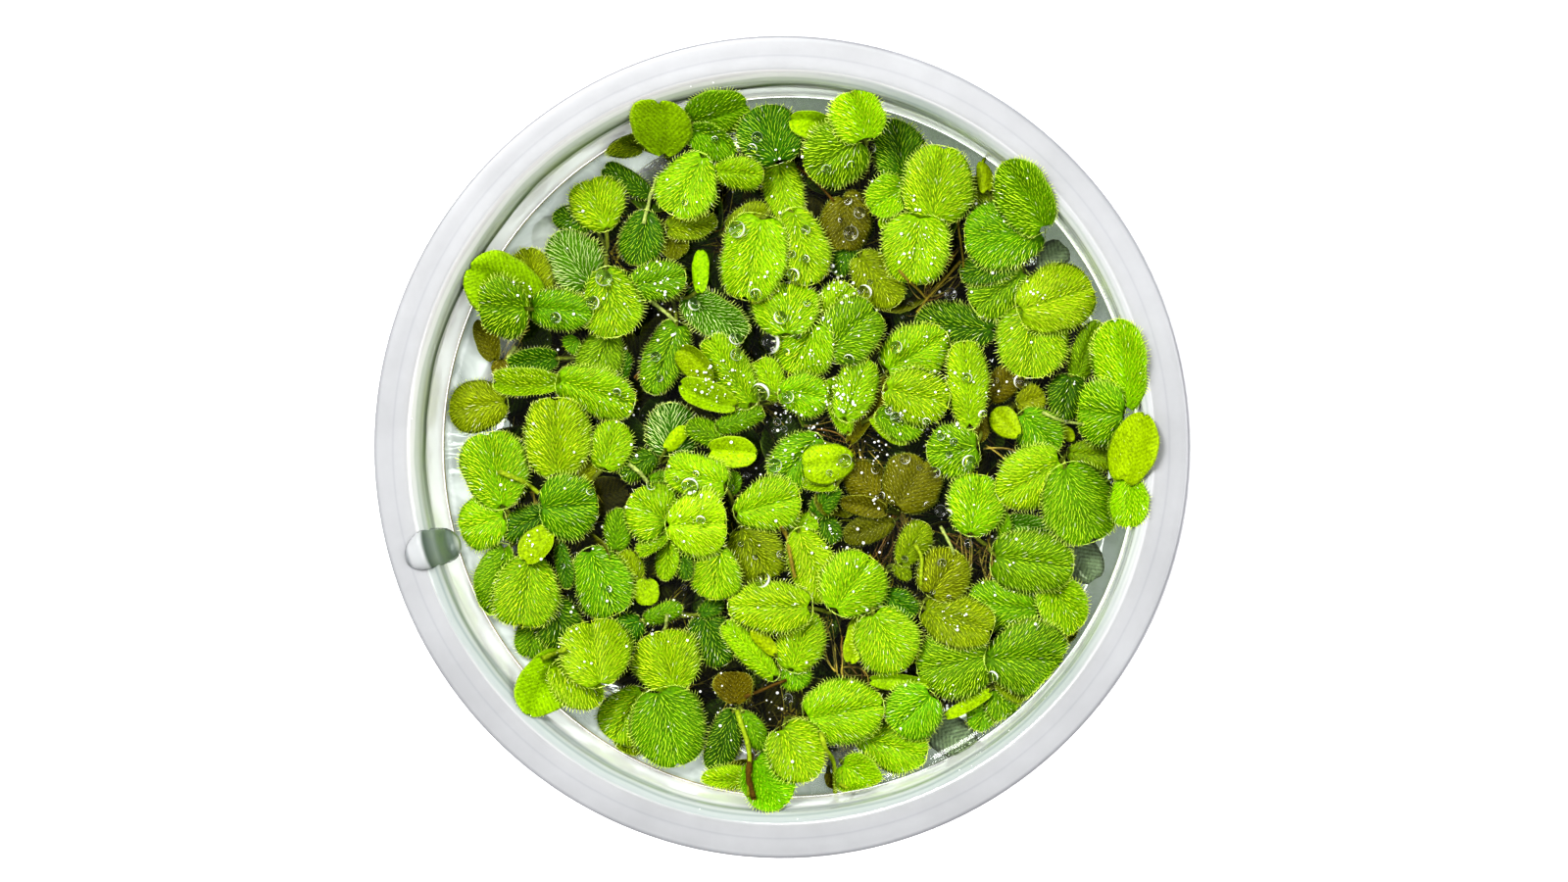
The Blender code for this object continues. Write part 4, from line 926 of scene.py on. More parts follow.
roots = {
    "strands": 85,
    "lengths": (6.0, 20.0),
    "depths": (0.8, 1.8),
    "dips": (4, 85),  # degrees under the level
    "spread": 0.9,
    "radius": 0.14,
    "thinEnd": 0.35,
    "wander": 6.0,
    "droop": 0.25,
    "colours": ((0.050, 0.045, 0.003), (0.220, 0.185, 0.010), (0.500, 0.430, 0.040)),
    "shares": (0.40, 0.36, 0.24),
    "wallFoot": 42.0,  # no strand reaches farther out than this at the floor
    "wallSlope": (wallTopRadius - wallFoot[0]) / (wallTop - wallFoot[1]),
}


def rootMaterial():
    made = Surface("fern root", Roughness=0.55)
    level = made.mapped(made.noise(made.place(), 900.0, 2.0), 0.3, 0.7, 0.6, 1.5)
    made.feed("Base Color", made.scaled(made.carried("tint", "Color"), level))
    return made.material


def rootTree(surface):
    tree = PointTree("fern roots", {
        "Radius": 0.1, "Wander": 1.0, "Droop": 0.2, "Wall Foot": 0.046, "Wall Slope": 0.1})
    line = tree.add("GeometryNodeCurvePrimitiveLine")
    marked = tree.marked(tree.add("GeometryNodeResampleCurve", {"Curve": line, "Count": 9}))[0]
    length = tree.carried("strandLength")
    turn = tree.add("FunctionNodeAlignRotationToVector", {
        "Vector": tree.carried("strandWay", "FLOAT_VECTOR")}, axis="Z")
    strands = tree.planted(marked, turn, length)
    tip = tree.carried("tip")
    noise = tree.add("ShaderNodeTexNoise", {
        "W": tree.carried("strandSeed"), "Scale": 130.0, "Detail": 1.0}, "Color", noise_dimensions="4D")
    centred = tree.vector("SUBTRACT", noise, (0.5, 0.5, 0.5))
    wave = tree.scaled(centred, tree.product(tip, tree.given["Wander"]))
    sag = tree.scaled((0, 0, -1), tree.product(tip, tip, length, tree.given["Droop"]))
    moved = tree.add("GeometryNodeSetPosition", {
        "Geometry": strands, "Offset": tree.vector("ADD", wave, sag)})
    # keep every point inside the wall
    place = tree.add("GeometryNodeInputPosition")
    height = tree.add("ShaderNodeSeparateXYZ", {0: place}, "Z")
    wall = tree.number("MULTIPLY_ADD", height, tree.given["Wall Slope"], tree.given["Wall Foot"])
    share = tree.number("MINIMUM", tree.number("DIVIDE", wall, tree.radius(place)), 1.0)
    inwards = tree.add("ShaderNodeCombineXYZ", {"X": share, "Y": share, "Z": 1.0})
    kept = tree.add("GeometryNodeSetPosition", {
        "Geometry": moved, "Position": tree.vector("MULTIPLY", place, inwards)})
    return tree.finished(tree.strand(kept, tip, roots["thinEnd"]), surface)


def rootStarts(node, number):
    # Where a plant's roots start, and their directions, lengths, colours and seeds
    rng = np.random.default_rng(4000 + number)
    count = roots["strands"]
    places = np.repeat(node[None], count, axis=0)
    places[:, :2] += rng.normal(0, roots["spread"], (count, 2))
    places[:, 2] = waterLevel - rng.uniform(*roots["depths"], count)
    azimuth = rng.uniform(0, 2 * np.pi, count)
    dip = np.radians(rng.uniform(*roots["dips"], count))
    ways = np.column_stack((np.cos(azimuth) * np.cos(dip), np.sin(azimuth) * np.cos(dip), -np.sin(dip)))
    lengths = rng.uniform(*roots["lengths"], count)
    colours = np.array(roots["colours"])[rng.choice(3, count, p=roots["shares"])]
    return places, ways, lengths * mm, colours, rng.uniform(0, 50, count)


def plantNode(leaves):
    # The knot under the surface where a plant's stalks meet
    behind = [leaf.base - leaf.along * stalks["length"] for leaf in leaves]
    middle = np.mean(behind, axis=0)
    middle = middle * min(1.0, (waterRadius - stalks["nodeInset"]) / np.hypot(*middle))
    return np.array((*middle, waterLevel - stalks["nodeDepth"]))


leafSurface = leafMaterial()
rootSurface = rootMaterial()
hairNodes = hairTree(hairMaterial())
rootNodes = rootTree(rootSurface)
plantNodes = [plantNode(leaves) for leaves in plants]
sunkenOf = [[] for _ in plants]
for leaf in sunkenLeaves():
    distances = [np.hypot(*(node[:2] - leaf.middle)) for node in plantNodes]
    sunkenOf[int(np.argmin(distances))].append(leaf)

hairTotal = 0
stalkColour = np.array(stalks["colour"])
plain = {"relief": 0.0, "row": 0.0, "edge": 0.0}
for number, (leaves, node) in enumerate(zip(plants, plantNodes)):
    name = f"plant_{number + 1:02d}"
    parts = Parts()
    for leaf in leaves:
        blade, row, edge, isUnder = bladeMesh(leaf, *leafBlade["steps"])
        colour = leaf.tint() * np.where(isUnder, leafBlade["underTint"], 1.0)[:, None]
        parts.add(blade, colour, relief=leaf.rows, row=row, edge=edge)
        start = leaf.at(stalks["start"], 0.0) - (0, 0, stalks["below"])
        path = arc(start, node, (*(-leaf.along * stalks["bow"]), -stalks["sag"]))
        radii = np.linspace(stalks["radius"], stalks["endRadius"], len(path))
        shade = stalks["oldShade"] if leaf.tone == "old" else 1.0
        parts.add(tube(path, radii), stalkColour * shade, **plain)
    for leaf in sunkenOf[number]:
        blade, row, edge = bladeMesh(leaf, *sunken["steps"])[:3]
        parts.add(blade, leaf.colour, relief=sunken["relief"], row=row, edge=edge)
        path = arc(leaf.at(stalks["start"], 0.0), node - (0, 0, 0.5), (0, 0, -stalks["sunkenSag"]), 6)
        radii = np.full(len(path), stalks["sunkenRadius"])
        parts.add(tube(path, radii, 5), stalkColour * stalks["sunkenShade"], **plain)
    blades = parts.piece(name + "_leaves", leafSurface)
    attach(blades, body)
    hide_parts(name)

    places, ways, lengths, colours, seeds = rootStarts(node, number)
    strands = grow(name + "_roots", rootNodes, {
        "Radius": roots["radius"] * mm, "Wander": roots["wander"] * mm, "Droop": roots["droop"],
        "Wall Foot": roots["wallFoot"] * mm, "Wall Slope": roots["wallSlope"]},
        places, strandWay=ways, strandLength=lengths, strandSeed=seeds, tint=opaque(colours))
    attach(strands, body)

    grown = [hairRoots(leaf) for leaf in leaves if leaf.form != "bud"]
    if not any(len(hair[0]) for hair in grown):
        continue
    places, ups, leans, sizes, lows, highs = (np.concatenate(part) for part in zip(*grown))
    hairObject = grow(name + "_hairs", hairNodes, {
        "Length": hairs["length"] * mm, "Radius": hairs["radius"] * mm, "Bend": hairs["bend"]},
        places, hairUp=ups, hairLean=leans, hairSize=sizes, tint=opaque(lows), tipTint=opaque(highs))
    hairTotal += len(hairObject.data.polygons)
    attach(hairObject, body)
print("leaves, roots and hairs made,", hairTotal, "hair faces")

# Loose stalks and stems that lie over the leaves: colour, radius, then the points from above
rodTable = (
    ("pale", 0.36, (-19.0, 39.5), (-20.2, 36.5), (-20.8, 32.6)),
    ("pale", 0.32, (-19.8, 21.3), (-16.3, 18.3)),
    ("pale", 0.36, (-40.2, 14.8), (-41.5, 13.0)),
    ("lime", 0.42, (-42.0, -3.6), (-39.0, -4.9), (-36.8, -6.8)),
    ("pale", 0.34, (-23.2, -2.5), (-21.5, -3.8), (-20.5, -5.2)),
    ("lime", 0.30, (18.9, -14.0), (20.0, -16.0), (19.9, -20.5)),
    ("pale", 0.28, (37.5, 5.0), (40.5, 3.6), (43.5, 3.3)),
    ("lime", 0.45, (-35.5, -31.0), (-31.3, -29.3)),
    ("lime", 0.40, (-7.3, -38.5), (-5.6, -43.0), (-4.9, -46.5), (-4.4, -50.4)),
    ("brown", 0.50, (-5.2, -45.0), (-4.8, -48.0), (-3.6, -50.6)),
    ("lime", 0.38, (5.5, -41.5), (7.0, -46.0), (7.2, -50.4)),
    ("lime", 0.30, (8.0, -49.0), (9.8, -49.8)),
    ("brown", 0.28, (-6.0, -36.5), (0.0, -34.0)),
    ("pale", 0.30, (-17.5, -24.5), (-18.0, -27.0)),
    ("pale", 0.28, (22.5, -11.5), (24.7, -15.5)),
    ("brown", 0.24, (1.5, 41.0), (4.4, 38.6), (7.0, 35.8)),
    ("straw", 0.20, (25.0, 33.0), (26.0, 26.0)),
    ("straw", 0.22, (17.0, 25.5), (20.5, 21.5)),
    ("straw", 0.24, (25.5, 27.0), (20.5, 21.5), (19.0, 19.5)),
    ("straw", 0.34, (-0.6, -11.6), (0.2, -13.2), (1.5, -19.0)),
)
rodColours = {
    "pale": (0.62, 0.74, 0.22), "lime": (0.50, 0.66, 0.03), "straw": (0.42, 0.34, 0.05),
    "brown": (0.20, 0.12, 0.02)}
rods = {"steps": 12, "gap": 0.15, "uneven": 0.12, "thinEnd": 0.8}

parts = Parts()
for colour, radius, *route in rodTable:
    route = np.array(route)
    lengths = np.concatenate(([0], np.cumsum(np.hypot(*np.diff(route, axis=0).T))))
    steps = np.linspace(0, lengths[-1], rods["steps"])
    x, y = (np.interp(steps, lengths, route[:, i]) for i in range(2))
    height = heap.at(x, y)
    evened = np.convolve(np.pad(height, 2, "edge"), np.ones(5) / 5, "valid")
    height = np.maximum(height, evened) + radius + rods["gap"]
    height = np.convolve(np.pad(height, 1, "edge"), (0.25, 0.5, 0.25), "valid")
    radii = radius * (1 + rods["uneven"] * np.sin(np.arange(rods["steps"]) * 1.9 + route[0, 0]))
    radii = radii * np.linspace(1.0, rods["thinEnd"], rods["steps"])
    parts.add(tube(np.stack((x, y, height), axis=1), radii), rodColours[colour])
looseStalks = parts.piece("loose_stalks", leafSurface)
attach(looseStalks, body)

# Roots that float just under the surface in the gaps: where they start and end, how many, their spread
tuftTable = (
    ((16.5, -9.0), (11.5, -1.5), 6, 1.6, "straw"), ((16.5, -9.0), (9.5, -11.5), 4, 1.2, "straw"),
    ((16.0, -9.5), (13.5, -16.5), 8, 1.6, "brown"), ((16.5, -9.5), (19.0, -13.5), 4, 1.0, "straw"),
    ((4.0, 2.5), (9.0, 0.5), 4, 1.0, "brown"), ((2.0, 3.5), (7.5, 4.5), 4, 1.2, "straw"),
    ((7.0, -33.0), (6.0, -24.5), 5, 1.2, "straw"), ((8.0, -32.5), (14.5, -35.0), 5, 1.0, "straw"),
    ((8.5, -28.0), (10.5, -34.5), 4, 1.0, "brown"), ((26.0, -19.0), (25.5, -12.5), 5, 1.2, "straw"),
    ((29.0, -19.0), (28.5, -13.5), 5, 1.0, "straw"), ((23.5, -13.0), (30.5, -17.5), 4, 1.0, "brown"),
    ((29.0, 0.0), (34.0, -2.0), 4, 0.8, "straw"), ((7.5, -43.5), (10.5, -47.5), 4, 0.8, "straw"),
    ((-42.0, 12.5), (-38.5, 17.5), 5, 1.0, "straw"), ((-19.5, 14.8), (-13.2, 11.0), 8, 0.9, "pale"),
    ((20.5, 21.8), (17.3, 26.5), 3, 0.5, "straw"), ((20.5, 21.8), (24.5, 27.0), 4, 0.8, "straw"),
    ((20.5, 21.8), (25.8, 25.0), 3, 0.5, "straw"), ((20.5, 21.8), (18.6, 18.6), 2, 0.5, "straw"),
    ((20.5, 21.8), (26.5, 29.0), 3, 0.8, "brown"), ((-4.6, -44.5), (-4.0, -52.0), 7, 1.0, "brown"),
    ((-37.5, -6.5), (-34.5, -12.5), 5, 1.0, "straw"), ((-13.5, 12.5), (-8.5, 18.5), 4, 1.0, "brown"),
    ((-22.5, 10.0), (-19.0, 17.5), 5, 1.0, "brown"), ((-4.0, 33.5), (-9.5, 30.5), 4, 1.0, "brown"),
)
tufts = {
    "radii": (0.10, 0.17), "thinEnd": 0.6, "depths": (-0.9, 0.35), "startDepths": (-0.5, 0.2),
    "startSpread": 0.3,
    "bow": 0.9, "bowDepths": (-0.5, 0.1), "shades": (0.6, 1.2), "steps": 8, "sides": 5}

rng = np.random.default_rng(31)
parts = Parts()
for start, end, count, spread, colour in tuftTable:
    for _ in range(count):
        ends = np.array((*end, waterLevel + rng.uniform(*tufts["depths"])))
        ends[:2] += rng.normal(0, spread, 2)
        starts = np.array((*start, waterLevel + rng.uniform(*tufts["startDepths"])))
        starts[:2] += rng.normal(0, tufts["startSpread"], 2)
        bow = (*rng.normal(0, tufts["bow"], 2), rng.uniform(*tufts["bowDepths"]))
        path = arc(starts, ends, bow, tufts["steps"])
        radius = rng.uniform(*tufts["radii"])
        radii = np.linspace(radius, radius * tufts["thinEnd"], tufts["steps"])
        shade = rng.uniform(*tufts["shades"])
        parts.add(tube(path, radii, tufts["sides"]), np.array(rodColours[colour]) * shade)
surfaceRoots = parts.piece("surface_roots", rootSurface)
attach(surfaceRoots, body)
print("loose stalks and surface roots made")

# Round drops: x, y, radius
dropTable = (
    (-6.8, 31.6, 1.25), (-3.5, 44.8, 0.8), (-4.3, 43.2, 0.75), (6.3, 40.2, 0.7), (9.8, 40.9, 0.6),
    (12.7, 43.5, 0.6), (10.9, 34.0, 0.85), (9.2, 35.7, 0.6), (9.7, 31.0, 1.1), (-10.0, 44.7, 0.5),
    (-14.2, 35.5, 0.5), (8.1, 33.0, 0.4), (3.2, 31.5, 0.7), (1.2, 28.0, 0.55), (3.2, 27.3, 0.6),
    (1.4, 25.0, 0.95), (6.8, 26.3, 0.9), (3.4, 20.9, 0.55), (1.9, 16.3, 0.7), (0.3, 13.8, 0.5),
    (11.7, 22.5, 1.1), (12.4, 24.0, 0.4), (-26.3, 24.6, 1.2), (-27.8, 21.0, 1.0), (-33.4, 18.8, 0.85),
    (-19.1, 13.2, 0.75), (-13.5, 20.8, 0.95), (-2.2, 15.2, 1.7), (-0.5, 18.8, 1.0), (-3.5, 8.0, 1.4),
    (0.6, 7.2, 0.9), (-6.8, 13.4, 0.9), (-7.2, 15.7, 0.9), (-4.1, 22.2, 0.85), (-24.5, 8.0, 0.6),
    (-18.5, 10.0, 0.5), (16.3, 4.2, 0.85), (15.3, 5.2, 0.6), (26.8, 10.0, 0.7), (22.9, 1.5, 0.6),
    (24.8, 0.7, 0.6), (20.8, 3.7, 0.6), (34.3, 9.5, 1.1), (28.9, 4.7, 0.65), (30.7, 9.6, 0.4),
    (17.7, -1.8, 0.75), (19.7, -3.0, 0.45), (22.6, -9.3, 0.9), (24.0, -9.5, 0.55), (27.0, -2.2, 1.05),
    (24.1, -1.1, 0.5), (22.0, -3.7, 0.8), (15.7, -8.0, 0.35), (20.7, -8.3, 0.4), (8.9, -2.0, 1.0),
    (6.7, -3.8, 0.5), (17.4, -16.3, 0.5), (19.2, -17.4, 0.5), (23.0, -16.8, 0.65), (21.6, -21.0, 0.4),
    (24.0, -21.7, 0.35), (-13.7, -5.7, 1.25), (-1.4, -2.7, 1.0), (-6.6, -14.1, 0.45), (-4.5, -16.1, 0.4),
    (-3.2, -19.5, 1.2), (-19.7, -5.8, 0.6), (-15.8, -4.7, 0.45), (-12.9, -3.9, 0.5), (-12.0, -10.6, 0.7),
    (-8.1, -6.0, 0.45), (-25.9, -20.8, 0.5), (-28.6, -6.5, 0.6), (18.1, 20.7, 0.5), (16.9, 18.9, 0.3),
    (24.0, 22.2, 0.9), (2.6, -6.4, 0.5), (-15.2, -20.6, 0.45), (-31.2, -16.2, 0.7), (-33.0, -17.5, 0.4),
    (-6.0, -4.2, 0.5), (-1.4, 3.6, 0.6), (-0.4, 2.6, 0.5), (-1.9, 2.4, 0.4), (0.3, 3.8, 0.4),
    (16.3, 14.5, 0.9), (9.5, 12.7, 0.8), (-0.7, -15.7, 0.6), (0.2, -36.7, 0.7), (7.0, -43.8, 0.6),
    (26.6, -14.0, 0.6), (30.5, -33.0, 0.8), (36.3, -9.6, 0.6), (13.1, -3.4, 0.6), (14.2, -7.0, 0.5),
)

drops = {
    "flatten": 0.22,
    "gap": 0.12,
    "paintedRingWhite": (0.45, 0.10),  # the painted ring's value where the white starts, and the least transmission
    "waist": (0.12, 0.30),  # the painted white ring's height and spread, as shares of the radius
    "speckPaintedRing": 1.3,  # specks are painted white all over, as glints
    "specks": 1000,
    "speckSizes": (0.06, 0.26),
    "speckReach": (50.0, 46.0),  # half the side of the square they fall on, and the radius they keep to
    "middle": (8.0, 26.0),  # most of them lie within this radius of a place this far up
    "clusters": 70,  # most of the specks stand in small groups
    "clusterReach": 42.0,
    "clustered": 0.6,
    "clusterSpread": 1.5,
    "lipGlintSpecks": 36,
    "lipReach": (52.4, 53.5),
    "lipSizes": (0.08, 0.18),
}


def dropMaterial():
    # Clear, with a painted white ring around the waist as its highlight, where a real drop gathers the light
    # around it
    made = Surface("water drop", Base_Color=(1.0, 1.0, 1.0, 1.0), Transmission_Weight=1.0,
                   IOR=1.33, Roughness=0.0)
    start, least = drops["paintedRingWhite"]
    made.feed("Transmission Weight", made.mapped(made.carried("waist"), start, 1.0, 1.0, least))
    return made.material


def dropShape(name, around, rings, isPaintedWhite):
    # A drop of radius one metre, made smaller where it stands, that sits on a flattened foot
    foot = -1 + drops["flatten"]
    angles = np.linspace(math.asin(foot), math.pi / 2, rings)[:-1]
    profile = [(0.0, foot), *((math.cos(a), math.sin(a)) for a in angles), (0.0, 1.0)]
    mesh = turnedMesh(name, [(radius / mm, height / mm) for radius, height in profile], around)
    heights = np.array([vertex.co.z for vertex in mesh.vertices])
    # a painted highlight: a white ring around the drop's waist
    level, spread = drops["waist"]
    waist = np.exp(-((heights - level) / spread) ** 2)
    if isPaintedWhite:
        waist = np.full(len(heights), drops["speckPaintedRing"])
    setValues(mesh, waist=waist)
    return objectFrom(name, mesh)


def dropTree(surface):
    tree = PointTree("drops", {}, ["Drop"])
    shape = tree.add("GeometryNodeObjectInfo", {"Object": tree.given["Drop"]}, "Geometry")
    turn = tree.add("FunctionNodeAlignRotationToVector", {
        "Vector": tree.carried("dropUp", "FLOAT_VECTOR")}, axis="Z")
    return tree.finished(tree.planted(shape, turn, tree.carried("dropSize")), surface)


def placeDrops(name, rows, shape):
    x, y, radius = np.array(rows).T
    height = heap.at(x, y) + radius * (1 - drops["flatten"]) + drops["gap"]
    made = grow(name, dropNodes, {"Drop": shape}, np.stack((x, y, height), axis=1),
                dropSize=radius * mm, dropUp=heap.normal(x, y))
    bpy.data.objects.remove(shape)
    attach(made, body)


dropNodes = dropTree(dropMaterial())
placeDrops("drops", dropTable, dropShape("drop_shape", 24, 14, False))
# Specks: tiny drops painted white all over, as painted glints on the leaves and beside the lip
rng = np.random.default_rng(9)
speckRows = []
clusters = rng.uniform(-drops["clusterReach"], drops["clusterReach"], (drops["clusters"], 2))
square, reach = drops["speckReach"]
up, wide = drops["middle"]
while len(speckRows) < drops["specks"]:
    x, y = rng.uniform(-square, square, 2)
    if rng.uniform() < drops["clustered"]:
        x, y = clusters[rng.integers(len(clusters))] + rng.normal(0, drops["clusterSpread"], 2)
    likely = 0.30 + math.exp(-(math.hypot(x, y - up) / wide) ** 2)
    if math.hypot(x, y) < reach and rng.uniform() < likely:
        low, high = drops["speckSizes"]
        speckRows.append((x, y, low + (high - low) * rng.uniform() ** 2))
for azimuth in rng.uniform(0, 2 * np.pi, drops["lipGlintSpecks"]):
    radius = rng.uniform(*drops["lipReach"])
    size = rng.uniform(*drops["lipSizes"])
    speckRows.append((radius * math.cos(azimuth), radius * math.sin(azimuth), size))
placeDrops("specks", speckRows, dropShape("speck_shape", 8, 5, True))
print("drops made")

plastic = {
    "colour": (0.965, 0.975, 0.980, 1.0),
    "roughness": 0.04,
    "lipRoughness": 0.12,
    "frost": 0.32,
    "frosted": (lipRadius - 0.2, lipRadius + 0.5),
    "lipClear": 0.30,
    "flangeClear": 0.25,
    "corner": 0.6,
    "turnSteps": 160,
    "toUpperLeft": (22.0, 38.0),  # where the rings change over, in mm that way from the middle
    "toRight": (34.0, 46.0),
    # radius in mm and colour: painted rings of reflected light, refracted light and shade that the lip shows
    # at the upper left, near and at the right; each side has its own set, as the light falls differently
    # there
    "rings": (
        (50.0, (0.60, 0.605, 0.60)), (51.92, (0.62, 0.625, 0.62)), (52.02, (0.10, 0.13, 0.08)),
        (52.18, (0.20, 0.23, 0.17)), (52.32, (0.50, 0.54, 0.47)), (52.95, (0.48, 0.52, 0.46)),
        (53.10, (0.66, 0.67, 0.64)), (53.45, (0.66, 0.67, 0.64)), (53.60, (0.55, 0.55, 0.54)),
        (53.85, (0.54, 0.53, 0.52)), (54.10, (0.58, 0.58, 0.58))),
    "nearPaintedRings": (
        (50.0, (0.80, 0.805, 0.81)), (51.95, (0.78, 0.785, 0.79)), (52.20, (0.40, 0.44, 0.43)),
        (52.60, (0.55, 0.58, 0.57)), (52.95, (0.36, 0.41, 0.40)), (53.20, (0.50, 0.54, 0.53)),
        (53.75, (0.44, 0.48, 0.47)), (53.95, (0.50, 0.52, 0.51)), (54.10, (0.60, 0.60, 0.60))),
    "rightPaintedRings": (
        (50.0, (0.80, 0.805, 0.81)), (51.90, (0.76, 0.765, 0.77)), (52.05, (0.44, 0.48, 0.48)),
        (52.30, (0.64, 0.66, 0.66)), (52.90, (0.70, 0.72, 0.72)), (53.15, (0.56, 0.59, 0.59)),
        (53.45, (0.70, 0.71, 0.72)), (53.80, (0.60, 0.61, 0.62)), (54.10, (0.62, 0.62, 0.63))),
    # radius in mm and colour of the frosted flange: the darker lines at its steps and outer edge are painted
    # shade
    "flangeEdgeShadeRings": (
        (53.8, (0.38, 0.38, 0.37)), (54.05, (0.425, 0.43, 0.435)), (55.9, (0.415, 0.42, 0.43)),
        (56.1, (0.37, 0.375, 0.39)), (56.35, (0.415, 0.42, 0.43)), (58.3, (0.425, 0.43, 0.44)),
        (58.65, (0.37, 0.375, 0.39)), (59.0, (0.27, 0.275, 0.30))),
}


def tubMaterial():
    made = Surface("clear plastic", Base_Color=plastic["colour"], Transmission_Weight=1.0, IOR=1.49)
    place = made.place()
    start, full = plastic["frosted"]
    made.feed("Roughness", made.mapped(
        made.radius(place), start * mm, full * mm, plastic["roughness"], plastic["frost"]))
    streaks = made.noise(place, 60.0, 4.0, Distortion=0.6)
    made.bump(made.number("MULTIPLY_ADD", made.noise(place, 900.0, 3.0), 0.35, streaks), 0.12, 0.3)
    return made.material


def paintedLipMaterial():
    # The wall's top and the lip: partly clear plastic, its colour painted rings of reflected light,
    # refracted light and shade
    made = Surface("clear lip", Transmission_Weight=plastic["lipClear"], IOR=1.49,
                   Roughness=plastic["lipRoughness"])
    place = made.place()
    waver = made.mapped(made.noise(place, 55.0, 2.0), 0.3, 0.7, -0.2 * mm, 0.2 * mm)
    radius = made.number("ADD", made.radius(place), waver)
    upperLeft = made.vector("DOT_PRODUCT", place, (-0.707, 0.707, 0.0), out="Value")
    right = made.vector("DOT_PRODUCT", place, (1.0, 0.25, 0.0), out="Value")
    near, far, side = (made.ringColours(radius, plastic[key]) for key in (
        "nearPaintedRings", "rings", "rightPaintedRings"))
    isFar, isRight = (made.mapped(way, *(at * mm for at in plastic[key])) for way, key in (
        (upperLeft, "toUpperLeft"), (right, "toRight")))
    # painted light and shade: the rings of each side, mixed by direction
    made.feed("Base Color", made.mixed(isRight, made.mixed(isFar, near, far), side))
    return made.material


def flangeMaterial():
    made = Surface("frosted flange", Transmission_Weight=plastic["flangeClear"], IOR=1.49,
                   Roughness=plastic["frost"])
    place = made.place()
    grain = made.noise(place, 70.0, 5.0, Roughness=0.65)
    rings = made.ringColours(made.radius(place), plastic["flangeEdgeShadeRings"])
    made.feed("Base Color", made.scaled(rings, made.mapped(grain, 0.35, 0.7, 0.93, 1.06)))
    made.bump(grain, 0.15, 0.3)
    return made.material


def rounded(points, radius, steps=4):
    # Replaces every sharp corner of an open profile by a small arc
    made = [np.array(points[0], float)]
    for before, corner, after in zip(points[:-2], points[1:-1], points[2:]):
        before, corner, after = (np.array(p, float) for p in (before, corner, after))
        a, b = before - corner, after - corner
        cut = min(radius, np.linalg.norm(a) * 0.45, np.linalg.norm(b) * 0.45)
        start = corner + a / np.linalg.norm(a) * cut
        end = corner + b / np.linalg.norm(b) * cut
        for share in np.linspace(0, 1, steps + 1):
            made.append(start * (1 - share) ** 2 + corner * 2 * share * (1 - share) + end * share ** 2)
    return [*made, np.array(points[-1], float)]


def tubProfile():
    # From the floor's middle up the inside, over the lip and the flange, and back under
    def wallAt(height):
        share = (height - wallFoot[1]) / (wallTop - wallFoot[1])
        return wallFoot[0] + (wallTopRadius - wallFoot[0]) * share, height

    return rounded([
        (0.0, 1.2), (44.9, 1.2), wallFoot, wallAt(waterLevel + 0.7), wallAt(waterLevel + 0.9),
        (wallTopRadius, wallTop), (wallTopRadius + 0.5, wallTop + 1.3), (wallTopRadius + 0.6, wallTop + 2.4),
        (lipRadius, tubHeight), (rimRadius - 2.9, tubHeight - 0.05), (rimRadius, tubHeight),
        (rimRadius, tubHeight - 7.0), (rimRadius - 0.8, tubHeight - 7.0), (rimRadius - 0.8, tubHeight - 0.8),
        (lipRadius + 0.8, tubHeight - 0.8), (wallTopRadius + 0.8, wallTop), (47.2, 1.5), (45.4, 0.0),
        (0.0, 0.0)], plastic["corner"])


tub = objectFrom("tub_clear", turnedMesh(
    "tub_clear", tubProfile(), plastic["turnSteps"], tubMaterial(), flangeMaterial(), paintedLipMaterial()))
for polygon in tub.data.polygons:
    if math.hypot(polygon.center.x, polygon.center.y) > (lipRadius + 0.25) * mm:
        polygon.material_index = 1
    elif polygon.center.z > (waterLevel + 0.8) * mm:
        polygon.material_index = 2
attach(tub, body)
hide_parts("tub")
print("tub made")

waterLook = {
    "absorption": (0.62, 0.75, 0.62, 1.0),
    "density": 4.0,
    "meniscus": 0.9,
    "meniscusReach": 4.5,
    "meniscusFall": 0.9,
    "wallGap": 0.08,
    "turnSteps": 160,
    "paintedPaleLight": (0.25, 0.65),  # least and most
    "byWall": (42.5, 46.5),  # where the painted pale light and the painted shade start and are full
    "byLeft": (-12.0, 24.0),  # where the painted pale light starts to be stronger and is full, in mm leftwards
    # the colour of the painted shade beside the wall
    "shade": (0.42, 0.50, 0.36, 1.0),
    # radius in mm and colour of the water's tint near the wall; the dark yellow-brown band by the wall is a
    # painted shade line at the meniscus
    "edge": ((45.0, (0.95, 1.0, 0.96)), (50.3, (0.90, 0.96, 0.93)), (50.8, (0.60, 0.66, 0.58)),
             (50.95, (0.42, 0.30, 0.06)), (51.2, (0.60, 0.45, 0.10))),
}


